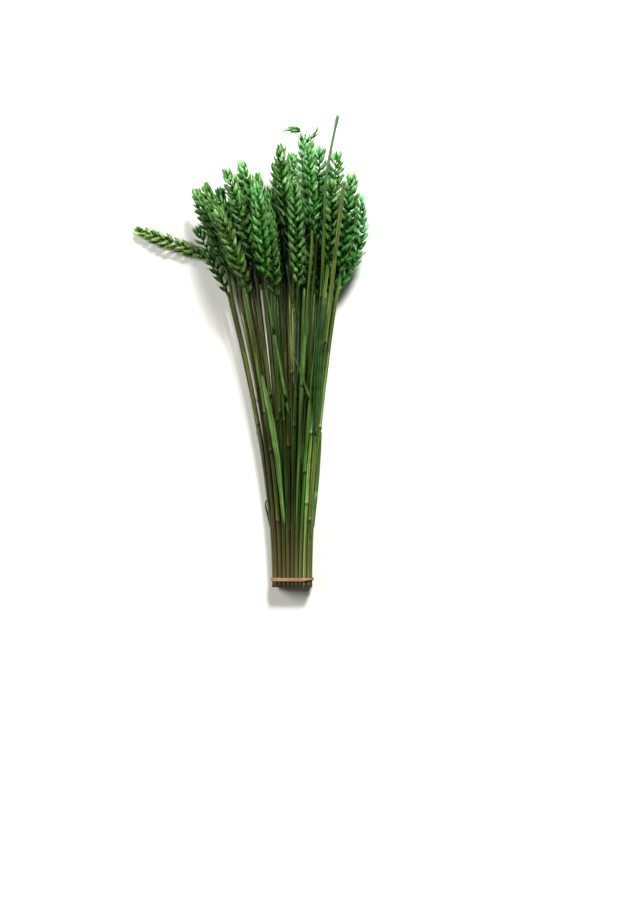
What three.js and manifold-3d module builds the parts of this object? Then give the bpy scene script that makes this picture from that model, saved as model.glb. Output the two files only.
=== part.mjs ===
// A bundle of dyed, dried wheat lying on its back: thirty-five stalks, each one stem with its ear, and a
// dozen straws without ears between them, gathered by a rubber band close to the cut ends and fanning out.
// Millimetres, +Z up. +X runs across the fan, +Y from the cut ends to the ears, and the floor is z = 0.
// The origin is the middle of the bundle's box, on the floor.

import * as THREE from "three";
import Module from "manifold-3d";

const wasm = await Module();
wasm.setup();

// ---- driving dimensions, in millimetres ----

const STEM_FOOT_R = 1.9; // a stem's radius at the cut end
const STEM_NECK_R = 1.4; // and just under the ear
const SIDES = 6;
const STEM_GAP = 0.3; // between neighbours in the band
const BAND_ROWS = [9, 10, 9, 10, 9]; // the stems side by side in each layer in the band, from the lowest

const BAND_X = 2; // the band's middle
const BAND_Y = 8; // and its height above the cut ends
const BAND_WIDTH = 5;
const BAND_THICK = 1.4;
const BAND_GAP = 0.3;
const FAN_Y = 14; // the stems run side by side up to here, and fan out from here on

const COLLAR_Y = 288; // where the stems stop fanning by the common rule and the ears begin
const FAN_POWER = 1.6; // the fan opens a little faster the further it is from the band
const EAR_Y = 358; // the height at which a stalk's level above the floor is stated

const EAR_HALF_WIDE = 8.4; // across the two rows of spikelets
const EAR_HALF_DEEP = 5; // across one spikelet
const SPIKELET_PITCH = 6.1; // along the ear, from one row to the other
const SPIKELET_LENGTH = 14.2;
const SPIKELET_HALF_WIDE = 5;
const SPIKELET_BULGE = 3; // how far it stands out from its own middle line
const SPIKELET_WRAP = 3; // how far its flanks reach back round the core
const SPIKELET_LEAN = 28; // degrees off the ear's axis, at its foot
const SPIKELET_LEAN_TIP = 21; // and at its tip
const CORE_R = 1.8; // the rachis with the feet of the spikelets
const TIP_LENGTH = 11; // the spikelet at the ear's tip
const TIP_R = 2.4;

const CLEAR = 0.3; // kept between stalks when one is laid on the others
const LEVEL_STEP = 0.5; // how finely a stalk is lowered onto those below it
const STEM_SECTIONS = [0, 0.04, 0.32, 1]; // where a stem has a section, as shares of its length
const KNOT_SWELL = 1.35; // a stem's knot against its own radius
const KNOT_LENGTH = 7;
const KNOT_FROM = 0.42; // a stem's knot lies between these shares of its length
const KNOT_TO = 0.62;

const BLADE_THICK = 0.8;
const BLADE_STEP = 6; // how finely a blade follows what it lies on
const SPRIG_PLUMP = 0.6; // a loose spikelet's thickness against its width

// ---- the stalks ----

// In the order in which they are laid, from the floor up. neck is where the ear begins and tip where it
// ends, as [x, y] from the bundle's middle line and the cut ends. turn is the ear's roll in degrees: at 0
// its two rows lie side by side, at 90 one lies on the other. girth scales the ear's thickness. under
// lists points of the stem below the neck, bend points of the ear above it, and on a stalk that this one
// lies higher than. A bare stem has lost its ear and has only its path, thick scales its radius at the
// top, and end is how its last stretch swells.
const STALKS = [
  { name: "stalk_back_1", neck: [-56, 310], tip: [-86, 388], turn: 20 },
  { name: "stalk_back_2", neck: [-35, 326], tip: [-56, 416], turn: 75 },
  { name: "stalk_back_3", neck: [-21, 330], tip: [-34, 418], turn: 10 },
  { name: "stalk_back_4", neck: [-4, 313], tip: [-12, 398], turn: 60 },
  { name: "stalk_back_5", neck: [2, 345], tip: [2, 438], turn: 15 },
  { name: "stalk_back_6", neck: [17, 363], tip: [21, 452], turn: 80 },
  { name: "stalk_back_7", neck: [28, 338], tip: [38, 423], turn: 25 },
  { name: "stalk_back_8", neck: [41, 320], tip: [57, 408], turn: 70 },
  { name: "stalk_back_9", neck: [-46, 296], tip: [-68, 370], turn: 40 },
  { name: "stalk_back_10", neck: [14, 300], tip: [16, 384], turn: 35 },
  { name: "stalk_back_11", neck: [44, 292], tip: [66, 372], turn: 15 },
  { name: "stalk_back_12", neck: [-12, 308], tip: [-22, 402], turn: 65 },
  { name: "stalk_back_13", neck: [24, 294], tip: [25, 385], turn: 45 },
  { name: "stalk_back_14", neck: [37, 300], tip: [49, 388], turn: -20 },
  { name: "stalk_back_15", neck: [-42, 302], tip: [-64, 388], turn: 10 },
  { name: "stalk_back_16", neck: [-27, 300], tip: [-42, 396], turn: -60 },
  { name: "stalk_left_1", neck: [-64, 320], tip: [-96, 401], turn: 30 },
  { name: "stalk_left_2", neck: [-49, 318], tip: [-73, 401], turn: -25 },
  { name: "stalk_left_3", neck: [-30, 336], tip: [-49, 428], turn: 40 },
  { name: "stalk_mid_1", neck: [-15, 292], tip: [-24, 376], turn: 0 },
  { name: "stalk_mid_2", neck: [-2, 338], tip: [-15, 430], turn: 30 },
  { name: "stalk_mid_3", neck: [27, 350], tip: [30, 443], turn: -20 },
  { name: "stalk_right_1", neck: [39, 345], tip: [47, 438], turn: 10 },
  { name: "stalk_right_2", neck: [47, 298], bend: [[68, 340]], tip: [71, 396], turn: 25, girth: 0.9 },
  {
    name: "stalk_drooping",
    under: [[-60, 288], [-75, 317]],
    neck: [-84, 331],
    bend: [[-94, 336]],
    tip: [-158, 361],
    turn: 20,
    girth: 0.95,
  },
  { name: "stalk_left_4", neck: [-62, 294], tip: [-96, 365], turn: 0, girth: 0.85 },
  { name: "stalk_left_5", neck: [-54, 320], tip: [-86, 405], turn: 55 },
  { name: "stalk_left_6", neck: [-36, 326], tip: [-64, 420], turn: -15 },
  { name: "stalk_mid_4", neck: [-25, 311], tip: [-34, 405], turn: 20 },
  { name: "stalk_mid_5", neck: [0, 348], tip: [-11, 444], turn: -30 },
  { name: "stalk_mid_6", neck: [22, 358], tip: [13, 450], turn: 50 },
  { name: "stalk_right_3", neck: [38, 323], tip: [41, 410], turn: 15 },
  { name: "stalk_right_4", neck: [51, 317], tip: [63, 415], turn: -30 },
  { name: "stalk_front_1", neck: [-42, 296], tip: [-73, 380], turn: 5 },
  { name: "stalk_front_2", neck: [8, 302], tip: [4, 408], turn: 0 },
  {
    name: "stem_bare_long",
    bare: [[31, 288], [34, 358], [36, 408], [40, 433], [48, 472]],
    on: "stalk_right_3",
    thick: 0.95,
    end: 1.4,
  },
  {
    name: "stem_bare_thick",
    bare: [[40, 288], [47, 348], [54, 406]],
    on: "stalk_right_3",
    thick: 1.4,
  },
  { name: "stem_short_1", bare: [[-37, 288], [-45, 326]] },
  { name: "stem_short_2", bare: [[-33, 288], [-40, 322]] },
  { name: "stem_short_3", bare: [[-9, 288], [-11, 331]] },
  { name: "stem_short_4", bare: [[-6.6, 288], [-8, 326]] },
  { name: "stem_short_5", bare: [[-3, 288], [-4, 334]] },
  { name: "stem_short_6", bare: [[5, 288], [5, 328]] },
  { name: "stem_short_7", bare: [[11, 288], [12, 324]] },
  { name: "stem_short_8", bare: [[17, 288], [20, 330]] },
  { name: "stem_short_9", bare: [[25, 288], [30, 333]] },
  { name: "stem_short_10", bare: [[29, 288], [34, 327]] },
];

// Dried leaf blades, from foot to tip as [x, y, width]. Each grows from the uppermost stem at its foot.
const BLADES = [
  [[-6, 61, 3], [-13, 130, 6], [-19, 168, 7], [-23, 188, 6], [-28, 213, 2]],
  [[-1, 170, 2], [-8, 210, 3.4], [-17, 260, 3], [-24, 298, 1]],
  [[21, 186, 1.6], [12, 212, 2.8], [2, 238, 1.2]],
  [[7, 258, 1.8], [2, 288, 2.6], [-4, 328, 2.6], [-8, 358, 1]],
];

// Loose spikelets at the broken tip of one ear, from foot to tip as [x, y, width].
const SPRIGS = [
  { on: "stalk_mid_6", path: [[14, 443, 1.6], [12, 454, 1.8], [7, 457, 5], [-1, 458, 6.5], [-9, 455, 1]] },
  { on: "stalk_mid_6", path: [[14, 440, 1.6], [18, 447, 2.4], [22, 455, 4.4], [27, 463, 1]] },
  { on: "stalk_mid_6", path: [[14, 442, 1.4], [16, 455, 1.6], [19, 459, 1.6], [28, 459, 1.2]] },
];

// ---- small helpers ----

const V = (x, y, z) => new THREE.Vector3(x, y, z);
const UP = V(0, 0, 1);
const mix = (a, b, t) => a + (b - a) * t;
const rad = (degrees) => (degrees * Math.PI) / 180;

// A number from 0 to 1 that looks random and is the same on every run.
const seeded = (seed) => Math.abs(Math.sin(12.9898 * (seed + 1)) * 43758.5453) % 1;

// The direction square to a path that is turned by angle from level, counterclockwise seen from the tip.
function squareTo(along, angle) {
  const side = along.clone().cross(UP).normalize();
  const up = side.clone().cross(along);
  return side.multiplyScalar(Math.cos(angle)).addScaledVector(up, -Math.sin(angle));
}

// A closed solid from vertices and triangles.
function solidOf(vertices, triangles) {
  const vertProperties = new Float32Array(vertices.flatMap((v) => [v.x, v.y, v.z]));
  const triVerts = new Uint32Array(triangles.flat());
  return new wasm.Manifold(new wasm.Mesh({ numProp: 3, vertProperties, triVerts }));
}

// ---- where each stalk lies ----

const PITCH = 2 * STEM_FOOT_R + STEM_GAP;

// The middles of the places in the band: layers of stems, each in the hollows of the one below.
const places = BAND_ROWS.flatMap((count, row) =>
  Array.from({ length: count }, (_, k) => ({
    x: BAND_X + PITCH * (k - (count - 1) / 2),
    z: (PITCH * (row - (BAND_ROWS.length - 1) / 2) * Math.sqrt(3)) / 2,
  })),
);
const BAND_Z = -Math.min(...places.map((p) => p.z)) + STEM_FOOT_R + BAND_GAP + BAND_THICK;

// Every stalk rises on a ray from the band's middle. Its level is the ray's height above the floor at EAR_Y.
const heightAt = (level, y) => mix(BAND_Z, level, (y - BAND_Y) / (EAR_Y - BAND_Y));

// A stalk's path above the collar, at a level.
function upperPath(stalk, level) {
  const place = ([x, y]) => V(x, y, heightAt(level, y));
  if (stalk.bare) return stalk.bare.map(place);
  const [x, y] = stalk.neck;
  const collar = [(x * (COLLAR_Y - BAND_Y)) / (y - BAND_Y), COLLAR_Y];
  return [...(stalk.under ?? [collar]), stalk.neck, ...(stalk.bend ?? []), stalk.tip].map(place);
}

// Which point of its upper path a stalk's neck is.
const neckIndex = (stalk) => stalk.under?.length ?? 1;

// How thick the ear is at a share of its length, against its widest.
function earSwell(share) {
  const knots = [[0, 0.55], [0.14, 0.88], [0.38, 1], [0.7, 0.95], [0.9, 0.78], [1, 0.5]];
  for (let i = 1; i < knots.length; i++)
    if (share <= knots[i][0]) {
      const [a, b] = [knots[i - 1], knots[i]];
      return mix(a[1], b[1], (share - a[0]) / (b[0] - a[0]));
    }
  return knots[knots.length - 1][1];
}

// Round beads along a stalk's upper path: one row on the stem, and two side by side on the ear, because
// an ear is wider across its two rows of spikelets than across one spikelet.
function beadsOf(stalk, level) {
  const path = upperPath(stalk, level);
  const beads = [];
  const along = (from, to, step, put) => {
    const count = Math.max(1, Math.ceil(from.distanceTo(to) / step));
    for (let i = 0; i <= count; i++) put(from.clone().lerp(to, i / count));
  };
  const stem = stalk.bare ? path : path.slice(0, neckIndex(stalk) + 1);
  for (let i = 1; i < stem.length; i++)
    along(stem[i - 1], stem[i], 2.5, (at) => beads.push({ at, r: STEM_NECK_R * 1.2 * (stalk.thick ?? 1) }));
  if (stalk.bare) return beads;
  const ear = path.slice(neckIndex(stalk));
  const lengths = ear.slice(1).map((p, i) => p.distanceTo(ear[i]));
  const whole = lengths.reduce((a, b) => a + b);
  const girth = stalk.girth ?? 1;
  const turn = rad(stalk.turn);
  let before = 0;
  for (let i = 1; i < ear.length; i++) {
    const start = ear[i - 1];
    const rowWay = squareTo(ear[i].clone().sub(start).normalize(), turn);
    along(start, ear[i], 4, (at) => {
      const swell = earSwell((before + at.distanceTo(start)) / whole) * girth;
      for (const way of [-1, 1])
        beads.push({
          at: at.clone().addScaledVector(rowWay, way * swell * (EAR_HALF_WIDE - EAR_HALF_DEEP)),
          r: swell * EAR_HALF_DEEP,
        });
    });
    before += lengths[i - 1];
  }
  return beads;
}

const tooClose = (these, those) =>
  these.some((a) => those.some((b) => a.at.distanceTo(b.at) < a.r + b.r + CLEAR));

// Each stalk in turn is laid at the lowest level at which it clears the floor and those already there.
const laid = [];
for (const stalk of STALKS) {
  let level = laid.find((other) => other.stalk.name === stalk.on)?.level ?? 0;
  let beads = [];
  do {
    level += LEVEL_STEP;
    beads = beadsOf(stalk, level);
  } while (beads.some((b) => b.at.z < b.r) || laid.some((other) => tooClose(beads, other.beads)));
  laid.push({ stalk, level, beads, path: upperPath(stalk, level) });
}

// The stalks share out the places in the band so that no two cross on their way there: as long as
// swapping two stalks' places brings both stalks nearer to them together, they are swapped.
const collars = laid.map(({ path }) => ({ x: path[0].x, z: path[0].z }));
const placeOf = laid.map((_, i) => i);
for (let swapped = true; swapped; ) {
  swapped = false;
  for (let i = 0; i < laid.length; i++)
    for (let j = i + 1; j < laid.length; j++) {
      const [p, q] = [places[placeOf[i]], places[placeOf[j]]];
      const gain = (collars[i].x - collars[j].x) * (p.x - q.x) + (collars[i].z - collars[j].z) * (p.z - q.z);
      if (gain < -1e-6) {
        [placeOf[i], placeOf[j]] = [placeOf[j], placeOf[i]];
        swapped = true;
      }
    }
}

// The whole middle line of a stalk, from the cut end up.
function middleLine({ path }, place) {
  const foot = (y) => {
    const share = Math.max(0, (y - FAN_Y) / (COLLAR_Y - FAN_Y)) ** FAN_POWER;
    return V(mix(place.x, path[0].x, share), y, mix(BAND_Z + place.z, path[0].z, share));
  };
  return [0, FAN_Y, 60, 115, 180, 240].map(foot).concat(path);
}

// ---- the solids ----

// The corners of a stalk's section, counterclockwise seen from the tip. The ear's two rows grow from the
// flat between corners 0 and 1 and from the flat opposite.
function sectionAt(curve, share, turn, r) {
  const along = curve.getTangentAt(share);
  const corner = (k) => squareTo(along, turn + rad((360 / SIDES) * (k - 0.5)));
  return Array.from({ length: SIDES }, (_, k) => curve.getPointAt(share).addScaledVector(corner(k), r));
}

// The sections of the stem: thicker at the foot, with one swollen knot.
function stemSections(curve, stalk, neckShare, knotShare) {
  const thick = stalk.thick ?? 1;
  const radius = (share) => mix(STEM_FOOT_R, STEM_NECK_R * thick, Math.min(1, share / neckShare));
  const knotHalf = KNOT_LENGTH / 2 / curve.getLength();
  const plain = STEM_SECTIONS.map((s) => ({ share: s * neckShare, r: radius(s * neckShare) }));
  if (stalk.end) {
    plain.at(-1).r *= stalk.end;
    plain.push({ share: 1 - (2 * KNOT_LENGTH) / curve.getLength(), r: radius(1) });
  }
  const knot = [[-1, 1], [0, KNOT_SWELL], [1, 1]].map(([offset, swell]) => {
    const share = knotShare + offset * knotHalf;
    return { share, r: radius(share) * swell };
  });
  return [...plain, ...knot].sort((p, q) => p.share - q.share);
}

// Half-thickness of the ear's core at a share of the ear's length.
const coreRadius = (share) =>
  CORE_R * Math.min(1, mix(0.7, 1, share / 0.15), mix(1, 0.5, (share - 0.7) / 0.3));

// A spikelet's size at a share of the ear's length.
const spikeletSize = (share) => Math.min(1, mix(0.8, 1, share / 0.2), mix(1, 0.8, (share - 0.7) / 0.3));

// One spikelet grows from a flat of the core, given by its four corners: a plump belt, and above it two
// pointed florets with a notch between them. Returns its seven points.
function spikeletPoints(root, along, outward, across, size, lean) {
  const foot = root.reduce((sum, corner) => sum.addScaledVector(corner, 0.25), V(0, 0, 0));
  const way = along.clone().multiplyScalar(Math.cos(lean)).addScaledVector(outward, Math.sin(lean));
  const out = outward.clone().multiplyScalar(Math.cos(lean)).addScaledVector(along, -Math.sin(lean));
  const point = (...steps) =>
    [way, across, out].reduce((at, axis, k) => at.addScaledVector(axis, steps[k] * size), foot.clone());
  const [long, wide, bulge, wrap] = [SPIKELET_LENGTH, SPIKELET_HALF_WIDE, SPIKELET_BULGE, SPIKELET_WRAP];
  return [
    point(0.4 * long, 0, bulge),
    point(0.46 * long, wide, -wrap),
    point(0.46 * long, 0, -0.6 * wrap),
    point(0.46 * long, -wide, -wrap),
    point(long, 0.66 * wide, 0),
    point(long, -0.66 * wide, 0),
    point(0.74 * long, 0, 0.3 * bulge),
  ];
}

// The triangles of a spikelet between the corners of its root and its seven points.
function spikeletTriangles([lowLeft, lowRight, highRight, highLeft], first) {
  const [outer, right, inner, left, rightTip, leftTip, notch] = [0, 1, 2, 3, 4, 5, 6].map((k) => first + k);
  return [
    [lowLeft, lowRight, outer], [lowRight, right, outer], [lowRight, highRight, right],
    [highRight, inner, right], [highRight, highLeft, inner], [highLeft, left, inner],
    [highLeft, lowLeft, left], [lowLeft, outer, left],
    [outer, right, rightTip], [right, inner, rightTip], [inner, notch, rightTip], [notch, outer, rightTip],
    [outer, leftTip, left], [left, leftTip, inner], [inner, leftTip, notch], [notch, leftTip, outer],
  ];
}

// A whole stalk in one skin: the stem, the core of the ear with a spikelet on every stretch of it, in
// the two rows by turns, and a pointed spikelet at the tip. A bare stem ends in a flat cut.
function stalkSkin(curve, stalk, neckShare, knotShare) {
  const turn = rad(stalk.turn ?? 0);
  const sections = stemSections(curve, stalk, neckShare, knotShare);
  const stemCount = sections.length;
  const girth = stalk.girth ?? 1;
  const earLength = (1 - neckShare) * curve.getLength() - TIP_LENGTH;
  const stretches = stalk.bare ? 0 : Math.round(earLength / SPIKELET_PITCH);
  const earShare = (k) => neckShare + ((k / stretches) * earLength) / curve.getLength();
  for (let k = 1; k <= stretches; k++)
    sections.push({ share: earShare(k), r: coreRadius(k / stretches) * girth });
  if (stretches) {
    sections.push({ share: mix(earShare(stretches), 1, 0.4), r: TIP_R * girth });
    sections.push({ share: 1, r: 0.15 });
  }
  const vertices = sections.flatMap(({ share, r }) => sectionAt(curve, share, turn, r));
  const triangles = [];
  for (let i = 0; i < sections.length - 1; i++) {
    const stretch = i - (stemCount - 1);
    const hasSpikelet = stretch >= 0 && stretch < stretches;
    const flat = stretch % 2 ? SIDES / 2 : 0;
    for (let k = 0; k < SIDES; k++) {
      const [a, b] = [i * SIDES + k, i * SIDES + ((k + 1) % SIDES)];
      if (!hasSpikelet || k !== flat) {
        triangles.push([a, b, b + SIDES], [a, b + SIDES, a + SIDES]);
        continue;
      }
      const share = (stretch + 0.5) / stretches;
      const along = curve.getTangentAt(earShare(stretch + 0.5));
      const outward = squareTo(along, flat ? turn + Math.PI : turn);
      const across = along.clone().cross(outward);
      const root = [a, b, b + SIDES, a + SIDES];
      const size = spikeletSize(share) * girth;
      const lean = rad(mix(SPIKELET_LEAN, SPIKELET_LEAN_TIP, share));
      const points = spikeletPoints(root.map((v) => vertices[v]), along, outward, across, size, lean);
      triangles.push(...spikeletTriangles(root, vertices.length));
      vertices.push(...points);
    }
  }
  const last = (sections.length - 1) * SIDES;
  for (let k = 1; k < SIDES - 1; k++) triangles.push([0, k + 1, k], [last, last + k, last + k + 1]);
  return solidOf(vertices, triangles);
}

// The share of the curve's length at the given point of its list.
function shareOfPoint(curve, index) {
  return curve.getLengths(400)[Math.round((400 * index) / (curve.points.length - 1))] / curve.getLength();
}

// Each stalk with its whole middle line, and the shares of that line at which its ear and its knot are.
const stalks = laid.map((item, index) => {
  const points = middleLine(item, places[placeOf[index]]);
  const curve = new THREE.CatmullRomCurve3(points, false, "centripetal");
  curve.arcLengthDivisions = 400;
  const earPoints = item.stalk.bare ? 1 : item.path.length - neckIndex(item.stalk);
  const neckShare = shareOfPoint(curve, points.length - earPoints);
  const knotShare = mix(KNOT_FROM, KNOT_TO, seeded(index)) * neckShare;
  const stemBeads = curve
    .getSpacedPoints(160)
    .filter((at) => at.y < COLLAR_Y)
    .map((at) => ({ at, r: mix(STEM_FOOT_R, STEM_NECK_R, at.y / COLLAR_Y) * KNOT_SWELL }));
  return { ...item, curve, neckShare, knotShare, cover: [...stemBeads, ...item.beads] };
});

// The highest point of the given stalks under a strip of half-width half, and the stalk that it is on.
function topUnder(x, y, half) {
  let top = { z: 0, under: null };
  for (const under of stalks)
    for (const { at, r } of under.cover) {
      const off = Math.hypot(Math.max(0, Math.abs(at.x - x) - half), at.y - y);
      const z = at.z + Math.sqrt(Math.max(0, r * r - off * off));
      if (off < r && z > top.z) top = { z, under };
    }
  return top;
}

// A thin strip along points with a width and a thickness at each, closed at both ends.
function strip(points) {
  const vertices = points.flatMap(({ at, width, thick }, i) => {
    const along = points[Math.min(i + 1, points.length - 1)].at.clone().sub(points[Math.max(i - 1, 0)].at);
    const side = along.clone().cross(UP).normalize();
    const up = side.clone().cross(along).normalize();
    return [[-1, -1], [-1, 1], [1, 1], [1, -1]].map(([a, b]) =>
      at.clone().addScaledVector(side, (a * width) / 2).addScaledVector(up, (b * thick) / 2),
    );
  });
  const triangles = [];
  for (let i = 0; i < points.length - 1; i++)
    for (let k = 0; k < 4; k++) {
      const [a, b] = [4 * i + k, 4 * i + ((k + 1) % 4)];
      triangles.push([a, b, b + 4], [a, b + 4, a + 4]);
    }
  const last = 4 * (points.length - 1);
  triangles.push([0, 2, 1], [0, 3, 2], [last, last + 1, last + 2], [last, last + 2, last + 3]);
  return solidOf(vertices, triangles);
}

// A blade lies over whatever is below it, and rises from the middle of its own stem.
function laidBlade(path) {
  const flat = path.slice(1).flatMap((to, i) => {
    const from = path[i];
    const count = Math.ceil(Math.hypot(to[0] - from[0], to[1] - from[1]) / BLADE_STEP);
    return Array.from({ length: count }, (_, k) => from.map((v, n) => mix(v, to[n], k / count)));
  });
  flat.push(path.at(-1));
  const tops = flat.map(([x, y, width]) => topUnder(x, y, width / 2).z);
  const { under } = topUnder(path[0][0], path[0][1], 0);
  const points = flat.map(([x, y, width], i) => {
    const z = Math.max(...tops.slice(Math.max(0, i - 1), i + 2)) + CLEAR + BLADE_THICK / 2;
    return { at: V(x, y, z), width, thick: BLADE_THICK };
  });
  const foot = under.curve.getSpacedPoints(800).reduce((best, at) =>
    Math.abs(at.y - path[0][1]) < Math.abs(best.y - path[0][1]) ? at : best,
  );
  points[0].at.copy(foot);
  return { under, solid: strip(points) };
}

// A loose spikelet lies level with the ear that it hangs on.
function sprigOn({ stalk, level }, path) {
  return strip(
    path.map(([x, y, width]) => ({
      at: V(x, y, heightAt(level, y)),
      width,
      thick: Math.max(BLADE_THICK, SPRIG_PLUMP * width),
    })),
  );
}

const blades = BLADES.map(laidBlade);

function stalkSolid(item) {
  const { stalk, curve, neckShare, knotShare } = item;
  const grown = [
    ...blades.filter(({ under }) => under === item).map(({ solid }) => solid),
    ...SPRIGS.filter(({ on }) => on === stalk.name).map(({ path }) => sprigOn(item, path)),
  ];
  return wasm.Manifold.union([stalkSkin(curve, stalk, neckShare, knotShare), ...grown]);
}

// The corners of the outline round a set of points, counterclockwise.
function outlineRound(points) {
  const sorted = [...points].sort((p, q) => p.x - q.x || p.y - q.y);
  const half = (list) => {
    const chain = [];
    for (const p of list) {
      while (chain.length > 1) {
        const [a, b] = chain.slice(-2);
        if ((b.x - a.x) * (p.y - a.y) - (b.y - a.y) * (p.x - a.x) > 1e-6) break;
        chain.pop();
      }
      chain.push(p);
    }
    return chain.slice(0, -1);
  };
  return [...half(sorted), ...half(sorted.reverse())];
}

// The rubber band: a strip of even thickness drawn tight round the outermost stems.
function bandGeometry() {
  const round = (r) =>
    outlineRound(
      places.flatMap((p) =>
        Array.from({ length: 12 }, (_, k) => {
          const a = rad(30 * k);
          return new THREE.Vector2(p.x + r * Math.cos(a), p.z + r * Math.sin(a));
        }),
      ),
    );
  const inner = STEM_FOOT_R + BAND_GAP;
  const shape = new THREE.Shape(round(inner + BAND_THICK));
  shape.holes.push(new THREE.Path(round(inner)));
  const geometry = new THREE.ExtrudeGeometry(shape, { depth: BAND_WIDTH, bevelEnabled: false });
  // The outline stands in x and z, so the strip's width turns from z to y.
  geometry.rotateX(Math.PI / 2);
  geometry.translate(0, BAND_Y + BAND_WIDTH / 2, BAND_Z);
  return geometry;
}

function geometryOf(solid) {
  const { vertProperties, triVerts } = solid.getMesh();
  const geometry = new THREE.BufferGeometry();
  geometry.setAttribute("position", new THREE.BufferAttribute(vertProperties, 3));
  geometry.setIndex(new THREE.BufferAttribute(triVerts, 1));
  return geometry;
}

// ---- the object ----

const EAR_GREEN = new THREE.MeshStandardMaterial({ color: 0x4a7a3f, roughness: 0.6, metalness: 0 });
const STEM_GREEN = new THREE.MeshStandardMaterial({ color: 0x5d6d2c, roughness: 0.5, metalness: 0 });
const RUBBER = new THREE.MeshStandardMaterial({ color: 0x9a6b45, roughness: 0.7, metalness: 0 });

const bundle = new THREE.Group();
stalks.forEach((item) => {
  const mesh = new THREE.Mesh(geometryOf(stalkSolid(item)), item.stalk.bare ? STEM_GREEN : EAR_GREEN);
  mesh.name = item.stalk.name;
  bundle.add(mesh);
});
const band = new THREE.Mesh(bandGeometry(), RUBBER);
band.name = "rubber_band";
bundle.add(band);

const box = new THREE.Box3().setFromObject(bundle);
bundle.position.set(-(box.min.x + box.max.x) / 2, -(box.min.y + box.max.y) / 2, -box.min.z);

const part = new THREE.Group();
part.add(bundle);

export default part;
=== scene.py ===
# %% [markdown]
# # A bundle of dried wheat
#
# Thirty-five stalks of bread wheat, dried and dyed green, lie in a bundle with a dozen straws that have
# lost their ears. A rubber band holds them close to the cut ends, and from there they fan out to the
# ears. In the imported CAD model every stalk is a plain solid. This lesson finds the same places by the same
# rule, and grows the stalks again with everything that makes wheat look like wheat: straws with knots and
# streaks, ears built from hundreds of pointed husks, awns, dry leaves.
#
# All shapes are worked out with numpy, as whole arrays of points. Lengths are in millimetres until a
# piece is made, because straw and chaff are easiest to think about in millimetres.

import bpy
import numpy as np
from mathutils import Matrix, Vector


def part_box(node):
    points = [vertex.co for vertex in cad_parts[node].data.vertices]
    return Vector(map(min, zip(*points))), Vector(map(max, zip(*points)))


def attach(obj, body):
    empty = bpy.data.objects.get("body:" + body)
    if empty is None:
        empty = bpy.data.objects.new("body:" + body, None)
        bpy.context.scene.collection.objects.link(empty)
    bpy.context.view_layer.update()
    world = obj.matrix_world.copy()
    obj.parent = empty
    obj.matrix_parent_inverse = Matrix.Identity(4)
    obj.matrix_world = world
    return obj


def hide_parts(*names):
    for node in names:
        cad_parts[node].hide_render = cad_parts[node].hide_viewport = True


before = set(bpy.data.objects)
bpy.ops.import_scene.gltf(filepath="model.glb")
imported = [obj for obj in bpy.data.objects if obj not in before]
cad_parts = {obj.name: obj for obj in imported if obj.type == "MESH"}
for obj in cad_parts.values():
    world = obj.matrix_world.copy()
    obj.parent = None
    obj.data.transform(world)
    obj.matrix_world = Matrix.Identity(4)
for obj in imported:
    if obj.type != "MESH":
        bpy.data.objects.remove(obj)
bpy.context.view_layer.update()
print("the packed model has", len(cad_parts), "nodes")

# %% [markdown]
# ## Where the bundle lies
#
# The stalks are described in a frame of their own, the bundle's. The line x = 0 is where they spread from,
# the cut ends are at y = 0, and the surface that they lie on is z = 0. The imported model's frame, the row's,
# starts from the middle of the whole box instead. It is known where the band is in the bundle's frame, so
# the middle of the band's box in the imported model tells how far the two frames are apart, and nothing has
# to be fitted.

# %% Sizes of the band and the way from the bundle's frame to the row's
MM = 0.001  # metres in a millimetre

STEM_FOOT_R = 1.9  # the radius of a straw at its cut foot
STEM_NECK_R = 1.4  # and at its neck, under the ear
STEM_GAP = 0.3  # between neighbours in the band
PITCH = 2 * STEM_FOOT_R + STEM_GAP

BAND_ROWS = [9, 10, 9, 10, 9]  # stems in each layer, from the lowest
BAND_X = 2.0  # the middle of the band
BAND_Y = 8.0
FAN_Y = 14.0  # the stems run straight up to here, and then fan out

band_low, band_high = (np.array(corner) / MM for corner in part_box("rubber_band"))
BAND_Z = (band_high[2] - band_low[2]) / 2
FRAME_SHIFT = (band_low + band_high) / 2 - np.array([BAND_X, BAND_Y, BAND_Z])


def to_row(points):
    """Points in the row's frame and metres: the bundle's point plus the shift, in thousandths."""
    return (np.asarray(points, float) + FRAME_SHIFT) * MM


print("the bundle's frame is shifted by", np.round(FRAME_SHIFT, 2), "mm")

# %% [markdown]
# ## The camera
#
# The bundle lies flat, so the camera looks straight down on it, from far off, as a long lens flattens
# it. The picture is 640 by 905, and one pixel of it shows one millimetre of the bundle at the height of
# the middle ears. The lens follows from that: sensor length times distance, over the length that the
# picture's long side shows.

# %% Camera
PICTURE_TALL = 905.0  # what the picture's long side shows, in millimetres
PICTURE_MIDDLE = (30.0, 135.5)  # the point of the bundle's frame in the middle of the picture
CAMERA_HEIGHT = 5000.0
EARS_HEIGHT = 45.0  # of the middle ears
SENSOR_LONG = 36.0  # the sensor's long side
VIEW_END = 20.0  # metres

camera_data = bpy.data.cameras.new("camera")
camera_data.sensor_width = SENSOR_LONG
camera_data.lens = SENSOR_LONG * (CAMERA_HEIGHT - EARS_HEIGHT) / PICTURE_TALL
camera_data.clip_end = VIEW_END
camera = bpy.data.objects.new("camera", camera_data)
camera.location = to_row([*PICTURE_MIDDLE, CAMERA_HEIGHT])
bpy.context.scene.collection.objects.link(camera)
bpy.context.scene.camera = camera
print("lens", round(camera_data.lens, 1), "mm")

# %% [markdown]
# ## Light and floor
#
# The key light comes from above and from beyond the ears, a little to the right. It rakes over the husks
# from their tips to their feet and leaves the sides that face the stems dark. A weaker and wider light
# from the left keeps that shade from going black. The floor is a plain pale plane.

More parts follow.
